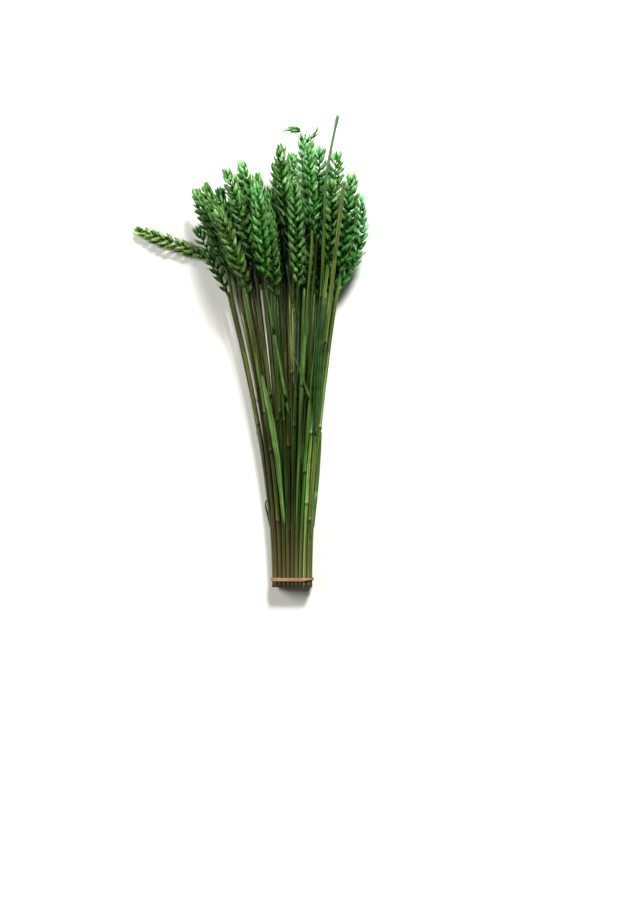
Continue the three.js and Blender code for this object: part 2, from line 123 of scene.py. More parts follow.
# %% Lights and the plain display transform
EARS_MIDDLE = [0.0, 370.0, 30.0]
WORLD_COLOUR = (1.0, 1.0, 0.97, 1.0)
WORLD_STRENGTH = 0.08


def area_light(name, place, size, watts, colour):
    """A square soft light at a place in the bundle's frame. It faces the middle of the ears."""
    data = bpy.data.lights.new(name, "AREA")
    data.size = size * MM
    data.energy = watts
    data.color = colour
    light = bpy.data.objects.new(name, data)
    light.location = to_row(place)
    towards = Vector(to_row(EARS_MIDDLE) - to_row(place))
    light.rotation_euler = towards.to_track_quat("-Z", "Y").to_euler()
    bpy.context.scene.collection.objects.link(light)
    return light


key_light = area_light("key", [700, 2450, 2050], size=800, watts=188, colour=(1.0, 0.99, 0.94))
side_light = area_light("side", [-2000, 1000, 1800], size=1300, watts=65, colour=(1.0, 1.0, 0.93))

world = bpy.data.worlds.new("studio")
world.use_nodes = True
world.node_tree.nodes["Background"].inputs["Color"].default_value = WORLD_COLOUR
world.node_tree.nodes["Background"].inputs["Strength"].default_value = WORLD_STRENGTH
bpy.context.scene.world = world
bpy.context.scene.view_settings.view_transform = "Standard"
print("the key light has", key_light.data.energy, "W and the side light", side_light.data.energy, "W")

# %% Floor
FLOOR_HALF = 6000.0
FLOOR_COLOUR = (0.86, 0.86, 0.85, 1.0)
FLOOR_ROUGHNESS = 0.9


def plain_floor():
    """A square in the plane z = 0 with a plain pale matt material."""
    corners = np.array([[-1, -1, 0], [1, -1, 0], [1, 1, 0], [-1, 1, 0]]) * FLOOR_HALF * MM
    mesh = bpy.data.meshes.new("floor")
    mesh.from_pydata(corners.tolist(), [], [[0, 1, 2, 3]])
    floor = bpy.data.objects.new("floor", mesh)
    material = bpy.data.materials.new("floor_pale")
    material.use_nodes = True
    shader = material.node_tree.nodes["Principled BSDF"]
    shader.inputs["Base Color"].default_value = FLOOR_COLOUR
    shader.inputs["Roughness"].default_value = FLOOR_ROUGHNESS
    mesh.materials.append(material)
    bpy.context.scene.collection.objects.link(floor)


plain_floor()
print("the floor is", round(2 * FLOOR_HALF * MM), "metres wide")

# %% [markdown]
# ## The stalks, one by one
#
# The list says where each ear begins (neck) and ends (tip), in the order in which the stalks are laid on
# each other. Turn is how far the ear is rolled: at 0 its two rows of spikelets lie side by side. Girth
# scales its thickness, and open says how far its husks stand apart. One stalk droops, so its stem and
# its ear have extra points (under, bend). The last twelve are straws without ears, which have only a
# path (bare). Thick scales the upper end of such a straw, and end the swelling at its very tip.
#
# The other numbers are for the colour and run from about 0 to 1: how much dye the stalk took (dye), how
# straw-coloured its ear stayed (warm), and how green (green) and how light (tone) its straw is.

# %% The list of stalks
STALKS = [
    dict(name="stalk_back_1", neck=(-56, 310), tip=(-86, 388), turn=20),
    dict(name="stalk_back_2", neck=(-35, 326), tip=(-56, 416), turn=75),
    dict(name="stalk_back_3", neck=(-21, 330), tip=(-34, 418), turn=10),
    dict(name="stalk_back_4", neck=(-4, 313), tip=(-12, 398), turn=60),
    dict(name="stalk_back_5", neck=(2, 345), tip=(2, 438), turn=15),
    dict(name="stalk_back_6", neck=(17, 363), tip=(21, 452), turn=80, open=0.7, dye=0.63),
    dict(name="stalk_back_7", neck=(28, 338), tip=(38, 423), turn=25, open=0.8, dye=0.57),
    dict(name="stalk_back_8", neck=(41, 320), tip=(57, 408), turn=70, open=0.25, dye=0.6),
    dict(name="stalk_back_9", neck=(-46, 296), tip=(-68, 370), turn=40),
    dict(name="stalk_back_10", neck=(14, 300), tip=(16, 384), turn=35),
    dict(name="stalk_back_11", neck=(44, 292), tip=(66, 372), turn=15, open=0.25, dye=0.6),
    dict(name="stalk_back_12", neck=(-12, 308), tip=(-22, 402), turn=65),
    dict(name="stalk_back_13", neck=(24, 294), tip=(25, 385), turn=45),
    dict(name="stalk_back_14", neck=(37, 300), tip=(49, 388), turn=-20),
    dict(name="stalk_back_15", neck=(-42, 302), tip=(-64, 388), turn=10),
    dict(name="stalk_back_16", neck=(-27, 300), tip=(-42, 396), turn=-60),
    dict(name="stalk_left_1", neck=(-64, 320), tip=(-96, 401), turn=30, open=0.6, dye=0.25),
    dict(name="stalk_left_2", neck=(-49, 318), tip=(-73, 401), turn=-25, dye=0.33),
    dict(name="stalk_left_3", neck=(-30, 336), tip=(-49, 428), turn=40, dye=0.46),
    dict(name="stalk_mid_1", neck=(-15, 292), tip=(-24, 376), turn=0, open=0.15, dye=0.35),
    dict(name="stalk_mid_2", neck=(-2, 338), tip=(-15, 430), turn=30, dye=0.1),
    dict(name="stalk_mid_3", neck=(27, 350), tip=(30, 443), turn=-20, open=0.8, dye=0.75),
    dict(name="stalk_right_1", neck=(39, 345), tip=(47, 438), turn=10, open=0.9, dye=0.45),
    dict(name="stalk_right_2", neck=(47, 298), bend=[(68, 340)], tip=(71, 396), turn=25,
         girth=0.9, open=0.3, dye=1.3),
    dict(name="stalk_drooping", under=[(-60, 288), (-75, 317)], neck=(-84, 331),
         bend=[(-94, 336)], tip=(-158, 361), turn=20, girth=0.95, open=0.1, dye=0.85, warm=0.6),
    dict(name="stalk_left_4", neck=(-62, 294), tip=(-96, 365), turn=0, girth=0.85, open=0.6, dye=0.45),
    dict(name="stalk_left_5", neck=(-54, 320), tip=(-86, 405), turn=55, open=0.3, dye=0.27),
    dict(name="stalk_left_6", neck=(-36, 326), tip=(-64, 420), turn=-15, dye=0.25),
    dict(name="stalk_mid_4", neck=(-25, 311), tip=(-34, 405), turn=20, dye=0.6),
    dict(name="stalk_mid_5", neck=(0, 348), tip=(-11, 444), turn=-30, dye=0.12),
    dict(name="stalk_mid_6", neck=(22, 358), tip=(13, 450), turn=50, open=0.9, dye=0.73, tone=0.3),
    dict(name="stalk_right_3", neck=(38, 323), tip=(41, 410), turn=15, dye=0.05),
    dict(name="stalk_right_4", neck=(51, 317), tip=(63, 415), turn=-30, open=0.7, dye=0.75),
    dict(name="stalk_front_1", neck=(-42, 296), tip=(-73, 380), turn=5, open=0.15,
         dye=0.15, warm=0.3),
    dict(name="stalk_front_2", neck=(8, 302), tip=(4, 408), turn=0, open=0.15, dye=0.37, warm=0.1),
    dict(name="stem_bare_long", bare=[(31, 288), (34, 358), (36, 408), (40, 433), (48, 472)],
         on="stalk_right_3", thick=0.95, end=1.4, tone=0.36, green=1.0, dye=0.4),
    dict(name="stem_bare_thick", bare=[(40, 288), (47, 348), (54, 406)],
         on="stalk_right_3", thick=1.4, tone=0.5, green=0.3, dye=0.5),
    dict(name="stem_short_1", bare=[(-37, 288), (-45, 326)]),
    dict(name="stem_short_2", bare=[(-33, 288), (-40, 322)]),
    dict(name="stem_short_3", bare=[(-9, 288), (-11, 331)]),
    dict(name="stem_short_4", bare=[(-6.6, 288), (-8, 326)]),
    dict(name="stem_short_5", bare=[(-3, 288), (-4, 334)]),
    dict(name="stem_short_6", bare=[(5, 288), (5, 328)]),
    dict(name="stem_short_7", bare=[(11, 288), (12, 324)]),
    dict(name="stem_short_8", bare=[(17, 288), (20, 330)]),
    dict(name="stem_short_9", bare=[(25, 288), (30, 333)]),
    dict(name="stem_short_10", bare=[(29, 288), (34, 327)]),
]

print(len(STALKS), "stalks,", sum("bare" in s for s in STALKS), "of them bare")

# %% [markdown]
# ## Smooth lines
#
# A straw is stiff and its bends are gentle, so its middle line is a smooth curve through a few points.
# The centripetal cubic curve goes through every point and never loops between close ones. It is the curve
# that the CAD model uses, so both follow the same line.

# %% A smooth line through points
FINE = 64  # samples between two points


def smooth_line(points):
    """Samples of the centripetal cubic curve through the points, FINE to a stretch.

    Each stretch is a cubic whose slopes at its ends come from the neighbours, weighted by the square
    roots of the distances between the points. The first and last points have mirrored neighbours.
    """
    p = np.asarray(points, float)
    p = np.vstack([2 * p[0] - p[1], p, 2 * p[-1] - p[-2]])
    gap = np.sqrt(np.linalg.norm(np.diff(p, axis=0), axis=1))[:, None]
    g0, g1, g2 = gap[:-2], gap[1:-1], gap[2:]
    p0, p1, p2, p3 = p[:-3], p[1:-2], p[2:-1], p[3:]
    slope1 = ((p1 - p0) / g0 - (p2 - p0) / (g0 + g1) + (p2 - p1) / g1) * g1
    slope2 = ((p2 - p1) / g1 - (p3 - p1) / (g1 + g2) + (p3 - p2) / g2) * g1
    w = (np.arange(FINE) / FINE)[None, :, None]
    a, b, s, e = (x[:, None, :] for x in (p1, p2, slope1, slope2))
    curve = a + s * w + (3 * (b - a) - 2 * s - e) * w**2 + (2 * (a - b) + s + e) * w**3
    return np.vstack([curve.reshape(-1, 3), p[-2]])


def lengths_along(line):
    """The length of the line up to each of its samples."""
    return np.concatenate([[0], np.cumsum(np.linalg.norm(np.diff(line, axis=0), axis=1))])


def points_at(line, where):
    """Points of the line at the given lengths from its start, and the directions there."""
    run = lengths_along(line)
    step = run[-1] / 1000

    def at(lengths):
        return np.stack([np.interp(lengths, run, line[:, k]) for k in range(3)], axis=-1)

    where = np.asarray(where, float)
    ahead = at(np.clip(where + step, 0, run[-1])) - at(np.clip(where - step, 0, run[-1]))
    return at(where), ahead / np.linalg.norm(ahead, axis=-1, keepdims=True)


def square_to(along, angle):
    """Directions square to along, turned by angle from level, counterclockwise seen from the tip."""
    side = np.cross(along, [0.0, 0.0, 1.0])
    side /= np.linalg.norm(side, axis=-1, keepdims=True)
    up = np.cross(side, along)
    angle = np.asarray(angle, float)[..., None]
    return side * np.cos(angle) - up * np.sin(angle)


# %% [markdown]
# ## Laying the bundle
#
# Wheat in a bundle settles as sticks do in a pile. Each stalk in turn is laid at the lowest level at
# which it touches neither the surface nor the stalks below it. For the test, a stem is a row of round
# beads and an ear two rows side by side. Every stalk rises on a ray from the band's middle, so a level
# is all that has to be found.

# %% Levels of the stalks
COLLAR_Y = 288.0  # where a stalk leaves the fan and follows its own points
EAR_Y = 358.0  # where its level is counted
EAR_HALF_WIDE = 8.4
EAR_HALF_DEEP = 5.0
STEM_BEAD_STEP = 2.5
EAR_BEAD_STEP = 4
STEM_BEAD = 1.2  # a stem's bead against the radius of its neck
CLEAR = 0.3  # the least gap between the beads of two stalks
LEVEL_STEP = 0.5


def height_at(level, y):
    """The height of a ray that leaves the band's middle and is at level where y is EAR_Y."""
    return BAND_Z + (level - BAND_Z) * (np.asarray(y, float) - BAND_Y) / (EAR_Y - BAND_Y)


def upper_path(stalk, level):
    """The points of a stalk above the collar, and which of them is the neck."""
    if "bare" in stalk:
        flat = list(stalk["bare"])
        neck = len(flat) - 1
    else:
        x, y = stalk["neck"]
        collar = (x * (COLLAR_Y - BAND_Y) / (y - BAND_Y), COLLAR_Y)
        under = stalk.get("under", [collar])
        flat = [*under, stalk["neck"], *stalk.get("bend", []), stalk["tip"]]
        neck = len(under)
    flat = np.array(flat, float)
    return np.column_stack([flat, height_at(level, flat[:, 1])]), neck


def ear_swell(share):
    """How thick the ear is at a share of its length, against its widest."""
    return np.interp(share, [0, 0.14, 0.38, 0.7, 0.9, 1], [0.55, 0.88, 1, 0.95, 0.78, 0.5])


def between(a, b, step):
    """Evenly spread points from a to b, no further than step apart."""
    count = max(1, int(np.ceil(np.linalg.norm(b - a) / step)))
    return a + (b - a) * (np.arange(count + 1) / count)[:, None]


def beads_of(stalk, level):
    """Middles and radii of the beads along a stalk's upper path."""
    path, neck = upper_path(stalk, level)
    stretches = zip(path[:neck], path[1:neck + 1])
    stem = np.vstack([between(a, b, STEM_BEAD_STEP) for a, b in stretches])
    middles = [stem]
    radii = [np.full(len(stem), STEM_NECK_R * STEM_BEAD * stalk.get("thick", 1))]
    if "bare" in stalk:
        return middles[0], radii[0]
    ear = path[neck:]
    run = lengths_along(ear)
    girth = stalk.get("girth", 1)
    for i in range(len(ear) - 1):
        at = between(ear[i], ear[i + 1], EAR_BEAD_STEP)
        along = (ear[i + 1] - ear[i]) / (run[i + 1] - run[i])
        across = square_to(along, np.radians(stalk["turn"]))
        swell = ear_swell((run[i] + np.linalg.norm(at - ear[i], axis=1)) / run[-1]) * girth
        for way in (-1, 1):
            middles.append(at + way * across * (swell * (EAR_HALF_WIDE - EAR_HALF_DEEP))[:, None])
            radii.append(swell * EAR_HALF_DEEP)
    return np.vstack(middles), np.concatenate(radii)


def lay_all():
    """The level of every stalk, each the lowest that clears the surface and the earlier stalks."""
    levels, below, below_r = {}, np.empty((0, 3)), np.empty(0)
    for stalk in STALKS:
        level = levels.get(stalk.get("on"), 0.0)
        while True:
            level += LEVEL_STEP
            at, r = beads_of(stalk, level)
            if (at[:, 2] < r).any():
                continue
            gap = np.linalg.norm(at[:, None] - below[None], axis=2) - r[:, None] - below_r
            if not len(below) or gap.min() >= CLEAR:
                break
        levels[stalk["name"]] = level
        below, below_r = np.vstack([below, at]), np.concatenate([below_r, r])
    return levels


levels = lay_all()
print("the highest ray is", max(levels.values()), "mm up at the ears")

# %% [markdown]
# ## The places in the band
#
# Round stems that are squeezed by a band pack in layers, each stem in the hollow between two of the layer
# below. Lying on a table the bundle settles flat: five layers of nine and ten. Which stem takes which
# place is settled by swapping: two stems trade places whenever that brings them, taken together, nearer
# to where they are going. When no swap helps any more, hardly any stems cross on their way up.

# %% Places in the band
FAN_POWER = 1.6  # above 1 the fan opens late
FAN_POINTS_Y = [0, FAN_Y, 60, 115, 180, 240]  # where a line has its points below the collar
LEAST_GAIN = 1e-6  # for less, two stems don't trade places


def band_places():
    """The middles of the places as x and z, layer by layer from the lowest."""
    layers = []
    for layer, count in enumerate(BAND_ROWS):
        x = BAND_X + PITCH * (np.arange(count) - (count - 1) / 2)
        z = PITCH * (layer - (len(BAND_ROWS) - 1) / 2) * np.sqrt(3) / 2
        layers.append(np.column_stack([x, np.full(count, z)]))
    return np.vstack(layers)


def share_out(places, collars):
    """The place of each stem, after swapping pairs until none gains."""
    of = np.arange(len(places))
    swapped = True
    while swapped:
        swapped = False
        for i in range(len(of)):
            for j in range(i + 1, len(of)):
                if (collars[i] - collars[j]) @ (places[of[i]] - places[of[j]]) < -LEAST_GAIN:
                    of[[i, j]] = of[[j, i]]
                    swapped = True
    return of


def middle_line(path, place):
    """A stalk's whole line: straight through the band, then a fan that opens by a power of the way."""
    y = np.array(FAN_POINTS_Y, float)
    share = np.maximum(0, (y - FAN_Y) / (COLLAR_Y - FAN_Y)) ** FAN_POWER
    foot = np.array([place[0], 0, BAND_Z + place[1]])
    points = foot + (path[0] - foot) * share[:, None]
    points[:, 1] = y
    return np.vstack([points, path])


places = band_places()
paths = [upper_path(stalk, levels[stalk["name"]]) for stalk in STALKS]
place_of = share_out(places, np.array([path[0, [0, 2]] for path, _ in paths]))
lines, necks = {}, {}
for stalk, (path, neck), place in zip(STALKS, paths, places[place_of]):
    points = middle_line(path, place)
    line = smooth_line(points)
    lines[stalk["name"]] = line
    necks[stalk["name"]] = lengths_along(line)[FINE * (len(points) - len(path) + neck)]
longest = max(lines, key=lambda name: lengths_along(lines[name])[-1])
print(len(places), "places in the band. The longest line is that of", longest)

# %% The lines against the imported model


def off_by(stalk):
    """How far the line's ends are from where the stalk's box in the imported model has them, in mm."""
    low, high = (np.array(corner) / MM - FRAME_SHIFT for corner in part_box(stalk["name"]))
    line = lines[stalk["name"]]
    beyond = np.maximum(low - line.min(axis=0), line.max(axis=0) - high)
    return beyond.max()


worst = max(STALKS, key=off_by)
print("the line furthest outside its solid's box:", worst["name"], round(off_by(worst), 2), "mm")

# %% [markdown]
# ## Skins
#
# Every part of a stalk is a closed skin: rings of points from one end to the other, four-sided faces
# between neighbouring rings, and a point at each end where triangles meet. Each point carries what the
# finishes need to know about it: tone, how light its husk or straw is; share, how far along it the point
# lies; edge, which is 1 on a husk's keel, 0.7 on its rims and 0 between; and grain, its place across and
# along the husk in millimetres, which the veins follow.

# %% Closed skins from rings
STRAW_SLOT, CHAFF_SLOT, LEAF_SLOT = 0, 1, 2  # the order of a stalk's finishes


def ring_skin(rings, foot, tip, grain, tone, share, edge, finish):
    """Closed bodies from rings of points, all of one pattern.

    rings is bodies x rings x sides x 3, foot and tip are bodies x 3. Ring i and ring i + 1 are joined
    side by side, the first ring is closed to foot and the last to tip.
    """
    bodies, count, sides, _ = rings.shape
    points = np.concatenate([rings.reshape(bodies, -1, 3), foot[:, None], tip[:, None]], axis=1)
    i, k = np.meshgrid(np.arange(count - 1), np.arange(sides), indexing="ij")
    i, k = i.ravel(), k.ravel()
    k_next = (k + 1) % sides
    here, above = i * sides, (i + 1) * sides
    quads = np.column_stack([here + k, here + k_next, above + k_next, above + k])
    k = np.arange(sides)
    k_next = (k + 1) % sides
    last = (count - 1) * sides
    foot_point, tip_point = np.full(sides, count * sides), np.full(sides, count * sides + 1)
    tris = np.vstack([
        np.column_stack([k_next, k, foot_point]),
        np.column_stack([last + k, last + k_next, tip_point]),
    ])
    start = (np.arange(bodies) * points.shape[1])[:, None, None]
    return dict(
        points=points.reshape(-1, 3),
        quads=(quads + start).reshape(-1, 4),
        tris=(tris + start).reshape(-1, 3),
        grain=grain.reshape(-1, 3),
        tone=tone.ravel(),
        share=share.ravel(),
        edge=edge.ravel(),
        finish=finish,
    )


# %% [markdown]
# ## A husk
#
# A husk is a dry scale, curved like a boat, with a keel along its back and a flatter inner face. It could
# be one mesh that is copied, but then all would bow alike. So one formula makes all husks of an ear at
# once, and each has its own length, width, bow and flare. The generator of random numbers has a fixed
# seed, so the bundle comes out the same each time.

# %% Husks
random = np.random.default_rng(7)
KEEL = 0.6  # how far the keel stands out, against the husk's thickness
RIM_EDGE = 0.7
GRAIN_SHIFT = 500  # husks and straws take their veins from places up to this far apart


def husks(foot, way, back, long, half, thick, bow, flare, tone, shares, girth, sides=8):
    """Pointed husks, one for each row of foot.

    Round a husk, a point at angle a and at a share u of its length lies half * girth(u) * cos(a) to the
    side and thick * girth(u) times 0.7 sin(a) to the back, with KEEL more on the keel, or 0.4 sin(a) on
    the inner face. The middle line bows to the back by bow * sin(pi u) and flares by flare * u^2, both
    times the length.
    """
    count = len(foot)
    across = np.cross(back, way)
    angle = 2 * np.pi * np.arange(sides) / sides
    to_side = np.cos(angle)
    keel = np.sin(angle) > 0.99
    to_back = np.where(np.sin(angle) > 0, 0.7 * np.sin(angle) + KEEL * keel, 0.4 * np.sin(angle))
    long, half, thick, bow, flare = (
        np.broadcast_to(x, count)[:, None] for x in (long, half, thick, bow, flare))

    def middle(u):
        up = long * u
        out = long * (bow * np.sin(np.pi * u) + flare * u**2)
        return foot[:, None] + way[:, None] * up[..., None] + back[:, None] * out[..., None]

    swell = girth(shares)
    side_reach = (half * swell)[..., None] * to_side
    back_reach = (thick * swell)[..., None] * to_back
    rings = middle(shares[None])[:, :, None]
    rings = rings + across[:, None, None] * side_reach[..., None]
    rings = rings + back[:, None, None] * back_reach[..., None]
    ends = middle(np.array([[0.0, 1.0]]))
    offset = random.uniform(0, GRAIN_SHIFT, (count, 1, 1, 1))
    along = np.broadcast_to((long * shares)[..., None], side_reach.shape)
    rim = np.maximum(keel, RIM_EDGE * (abs(np.cos(angle)) > 0.99))
    edge = np.broadcast_to(rim, side_reach.shape).reshape(count, -1)
    edge = np.hstack([edge, np.zeros((count, 1)), np.ones((count, 1))])
    grain = np.stack([side_reach, back_reach, along], axis=-1) + offset
    end_grain = np.stack([np.zeros((count, 2)), np.zeros((count, 2)), np.hstack([0 * long, long])], axis=-1)
    grain = np.concatenate([grain.reshape(count, -1, 3), end_grain + offset[:, 0]], axis=1)
    share = np.concatenate([np.repeat(shares, sides), [0.0, 1.0]])
    share = np.broadcast_to(share, (count, len(share)))
    tone = np.broadcast_to(np.asarray(tone, float).reshape(-1, 1), share.shape)
    return ring_skin(rings, ends[:, 0], ends[:, 1], grain, tone, share, edge, CHAFF_SLOT)


# %% [markdown]
# ## A tube
#
# Straws, the axes of the ears and the threads are all tubes along a line. Blender could give a curve a
# round bevel, but a tube of our own can swell at a knot, turn in at a cut end and carry its numbers.

# %% Tubes


def tube(line, where, radius, tone, sides=12, inner_foot=0.0, inner_tip=0.0, offset=None):
    """A straw along the line: at each length in where, a ring of the given radius.

    inner_foot and inner_tip are how deep the straw is hollow at its ends: there the skin turns in to
    three fifths of the radius and goes down the hollow before it closes, with dark tones inside as
    painted shade. offset shifts its streaks, and is drawn at random where none is given.
    """
    where, radius, tone = (np.asarray(x, float) for x in (where, radius, tone))
    # painted shade: the rings inside a hollow end get the dark tones 0.1 and 0.2
    if inner_foot:
        where = np.concatenate([[where[0] + inner_foot, where[0] + 0.05], where])
        radius = np.concatenate([[0.5 * radius[0], 0.6 * radius[0]], radius])
        tone = np.concatenate([[0.1, 0.2], tone])
    if inner_tip:
        where = np.concatenate([where, [where[-1] - 0.05, where[-1] - inner_tip]])
        radius = np.concatenate([radius, [0.6 * radius[-1], 0.5 * radius[-1]]])
        tone = np.concatenate([tone, [0.2, 0.1]])
    middle, along = points_at(line, where)
    angle = 2 * np.pi * np.arange(sides) / sides
    rings = middle[:, None] + radius[:, None, None] * square_to(along[:, None], angle[None])
    offset = random.uniform(0, GRAIN_SHIFT) if offset is None else offset
    round_the_straw = radius[:, None] * np.cos(angle), radius[:, None] * np.sin(angle)
    around = np.stack(np.broadcast_arrays(*round_the_straw, where[:, None]), axis=-1)
    ends = np.array([[0, 0, where[0]], [0, 0, where[-1]]])
    grain = np.concatenate([around.reshape(-1, 3), ends]) + offset
    tones = np.concatenate([np.repeat(tone, sides), tone[[0, -1]]])
    share = np.concatenate([np.repeat(where, sides), where[[0, -1]]]) / lengths_along(line)[-1]
    return ring_skin(rings[None], middle[:1], middle[-1:], grain, tones, share, 0 * share, STRAW_SLOT)


# %% [markdown]
# ## From skins to a piece
#
# A stalk with an ear has hundreds of closed bodies, and all of them become one mesh. Their numbers are
# stored as attributes of its points, where the finishes can read them.

# %% Joining skins and making a piece
PER_POINT = ("points", "grain", "tone", "share", "edge")


def joined(skins):
    """Several skins as one, each one's faces renumbered by the points before it."""
    starts = np.cumsum([0] + [len(skin["points"]) for skin in skins])
    whole = {key: np.concatenate([skin[key] for skin in skins]) for key in PER_POINT}
    whole["quads"] = np.concatenate([skin["quads"] + start for skin, start in zip(skins, starts)])
    whole["tris"] = np.concatenate([skin["tris"] + start for skin, start in zip(skins, starts)])
    whole["finish"] = np.concatenate(
        [np.full(len(skin["quads"]), skin["finish"]) for skin in skins]
        + [np.full(len(skin["tris"]), skin["finish"]) for skin in skins])
    return whole


def piece_of(name, skin, materials, **numbers):
    """An object of the skin, in the row's frame, with its points' numbers and its own as attributes."""
    mesh = bpy.data.meshes.new(name)
    loops = np.concatenate([skin["quads"].ravel(), skin["tris"].ravel()])
    sizes = np.concatenate([np.full(len(skin["quads"]), 4), np.full(len(skin["tris"]), 3)])
    mesh.vertices.add(len(skin["points"]))
    mesh.vertices.foreach_set("co", to_row(skin["points"]).ravel())
    mesh.loops.add(len(loops))
    mesh.loops.foreach_set("vertex_index", loops.astype(np.int32))
    mesh.polygons.add(len(sizes))
    mesh.polygons.foreach_set("loop_start", np.concatenate([[0], np.cumsum(sizes)[:-1]]).astype(np.int32))
    mesh.polygons.foreach_set("loop_total", sizes.astype(np.int32))
    mesh.polygons.foreach_set("material_index", np.asarray(skin["finish"]).astype(np.int32))
    mesh.update(calc_edges=True)
    mesh.shade_smooth()
    mesh.attributes.new("grain", "FLOAT_VECTOR", "POINT").data.foreach_set("vector", skin["grain"].ravel())
    for key in ("tone", "share", "edge"):
        mesh.attributes.new(key, "FLOAT", "POINT").data.foreach_set("value", skin[key].astype(float))
    for key, value in numbers.items():
        values = np.full(len(skin["points"]), value, float)
        mesh.attributes.new(key, "FLOAT", "POINT").data.foreach_set("value", values)
    for material in materials:
        mesh.materials.append(material)
    piece = bpy.data.objects.new(name, mesh)
    bpy.context.scene.collection.objects.link(piece)
    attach(piece, "root")
    return piece


def volume_of(skin):
    """The volume inside the skin: a sixth of the sum of a . (b x c) over its triangles."""
    p = skin["points"]
    tris = np.vstack([skin["tris"], skin["quads"][:, [0, 1, 2]], skin["quads"][:, [0, 2, 3]]])
    a, b, c = (p[tris[:, k]] for k in range(3))
    return (a * np.cross(b, c)).sum() / 6


# %% [markdown]
# ## An ear of wheat
#
# An ear is a zigzag axis with a spikelet at every bend, to one side and the other by turns. A spikelet
# is a small fan of husks: two glumes outside, and between them the florets, each with its husk round a
# grain. The fan stands square to the two rows, so an ear seen from the side of its rows looks plaited,
# and seen from the front of a row like tulips set one into the other. A table of seven husks makes a
# spikelet, and the whole ear is that table times the places of its spikelets. Every husk ends in a hair,
# and about one in three of these hairs is long enough to be an awn.

# %% The husks of one spikelet
# side, up the spikelet, off its middle, tilt, facing, length, half width, thickness, bow
# Lengths in mm. Tilt is the lean to the side in degrees, facing how far the husk's back is turned to the
# side, from 0, away from the axis, to 90.
HUSKS = np.array([
    [1, 0.0, 2.2, 17, 60, 8.6, 2.3, 1.1, 0.10],
    [-1, 0.3, 2.2, 17, 60, 8.6, 2.3, 1.1, 0.10],
    [1, 1.3, 1.7, 13, 50, 11.8, 2.3, 1.7, 0.07],
    [-1, 1.8, 1.7, 13, 50, 11.6, 2.3, 1.7, 0.07],
    [1, 2.6, 0.8, 7, 28, 11.3, 2.1, 1.6, 0.06],
    [-1, 3.2, 0.8, 7, 28, 10.7, 2.0, 1.5, 0.06],
    [1, 4.6, 0.0, 0, 0, 9.2, 1.8, 1.3, 0.04],
])
IS_GLUME = np.array([1, 1, 0, 0, 0, 0, 0], bool)
HUSK_SHARES = np.array([0.04, 0.15, 0.32, 0.52, 0.71, 0.87])  # where a husk has its rings
HAIR_SHARES = np.array([0.02, 0.5])
HAIR_RADIUS = 0.24
HAIR_LENGTHS = 1.2, 3.0
AWN_LENGTHS = 4, 9.5
HAIR_ROOT = 0.4  # how deep a hair begins inside its husk
HAIR_TONE = 0.95


def husk_girth(u):
    """u^0.55 (1 - u)^1.15, scaled so that its largest value, a third of the way up, is about 1."""
    return 2.95 * u**0.55 * (1 - u)**1.15


def hair_girth(u):
    """A straight taper to a fifth."""
    return 1 - 0.8 * u


def unit(v):
    """The vectors at length 1."""
    return v / np.linalg.norm(v, axis=-1, keepdims=True)


def square_part(v, way):
    """What is left of v at length 1, once its part along way is taken off."""
    return unit(v - (v * way).sum(axis=-1, keepdims=True) * way)


print("a spikelet has", len(HUSKS), "husks,", IS_GLUME.sum(), "of them glumes")

# %% Spikelets with their hairs
# A spread is a standard deviation, of single husks or, with FAN, of whole spikelets. Angles are in degrees.
LEAN_SPREAD = 4.5
FAN_LEAN_SPREAD = 3
TILT_SPREAD = 5
FACING_SPREAD = 11
OPEN_TILT = 3  # degrees more on the most open ear
HUSK_SIZES = 0.88, 1.1
HUSK_WIDTHS = 0.85, 1.12
HUSK_FLARES = 0.0, 0.05
OPEN_FLARE = 0.12
SLIM_ALONG = [0.75, 1], [1, 0.75]  # share of the ear, and how slim its spikelets are
FOOT_OUT = 0.6  # how far out of the axis a spikelet begins
FOOT_TONE = 0.33
TONE_RISE = 0.42
TONE_SPREAD = 0.3
FAN_TONE_SPREAD = 0.16
AWN_SHARE = 0.25  # of the hairs on a closed ear are awns, and twice as many on the most open one
GLUME_HAIR = 0.4  # how long a glume's hair is, against the others
HAIR_OUT = 0.08  # how much of a hair's way is to the back of its husk
OPEN_HAIR_OUT = 0.25
HAIR_OUT_SPREAD = 0.12
HAIR_BEND = 0.03
HAIR_BEND_SPREAD = 0.1


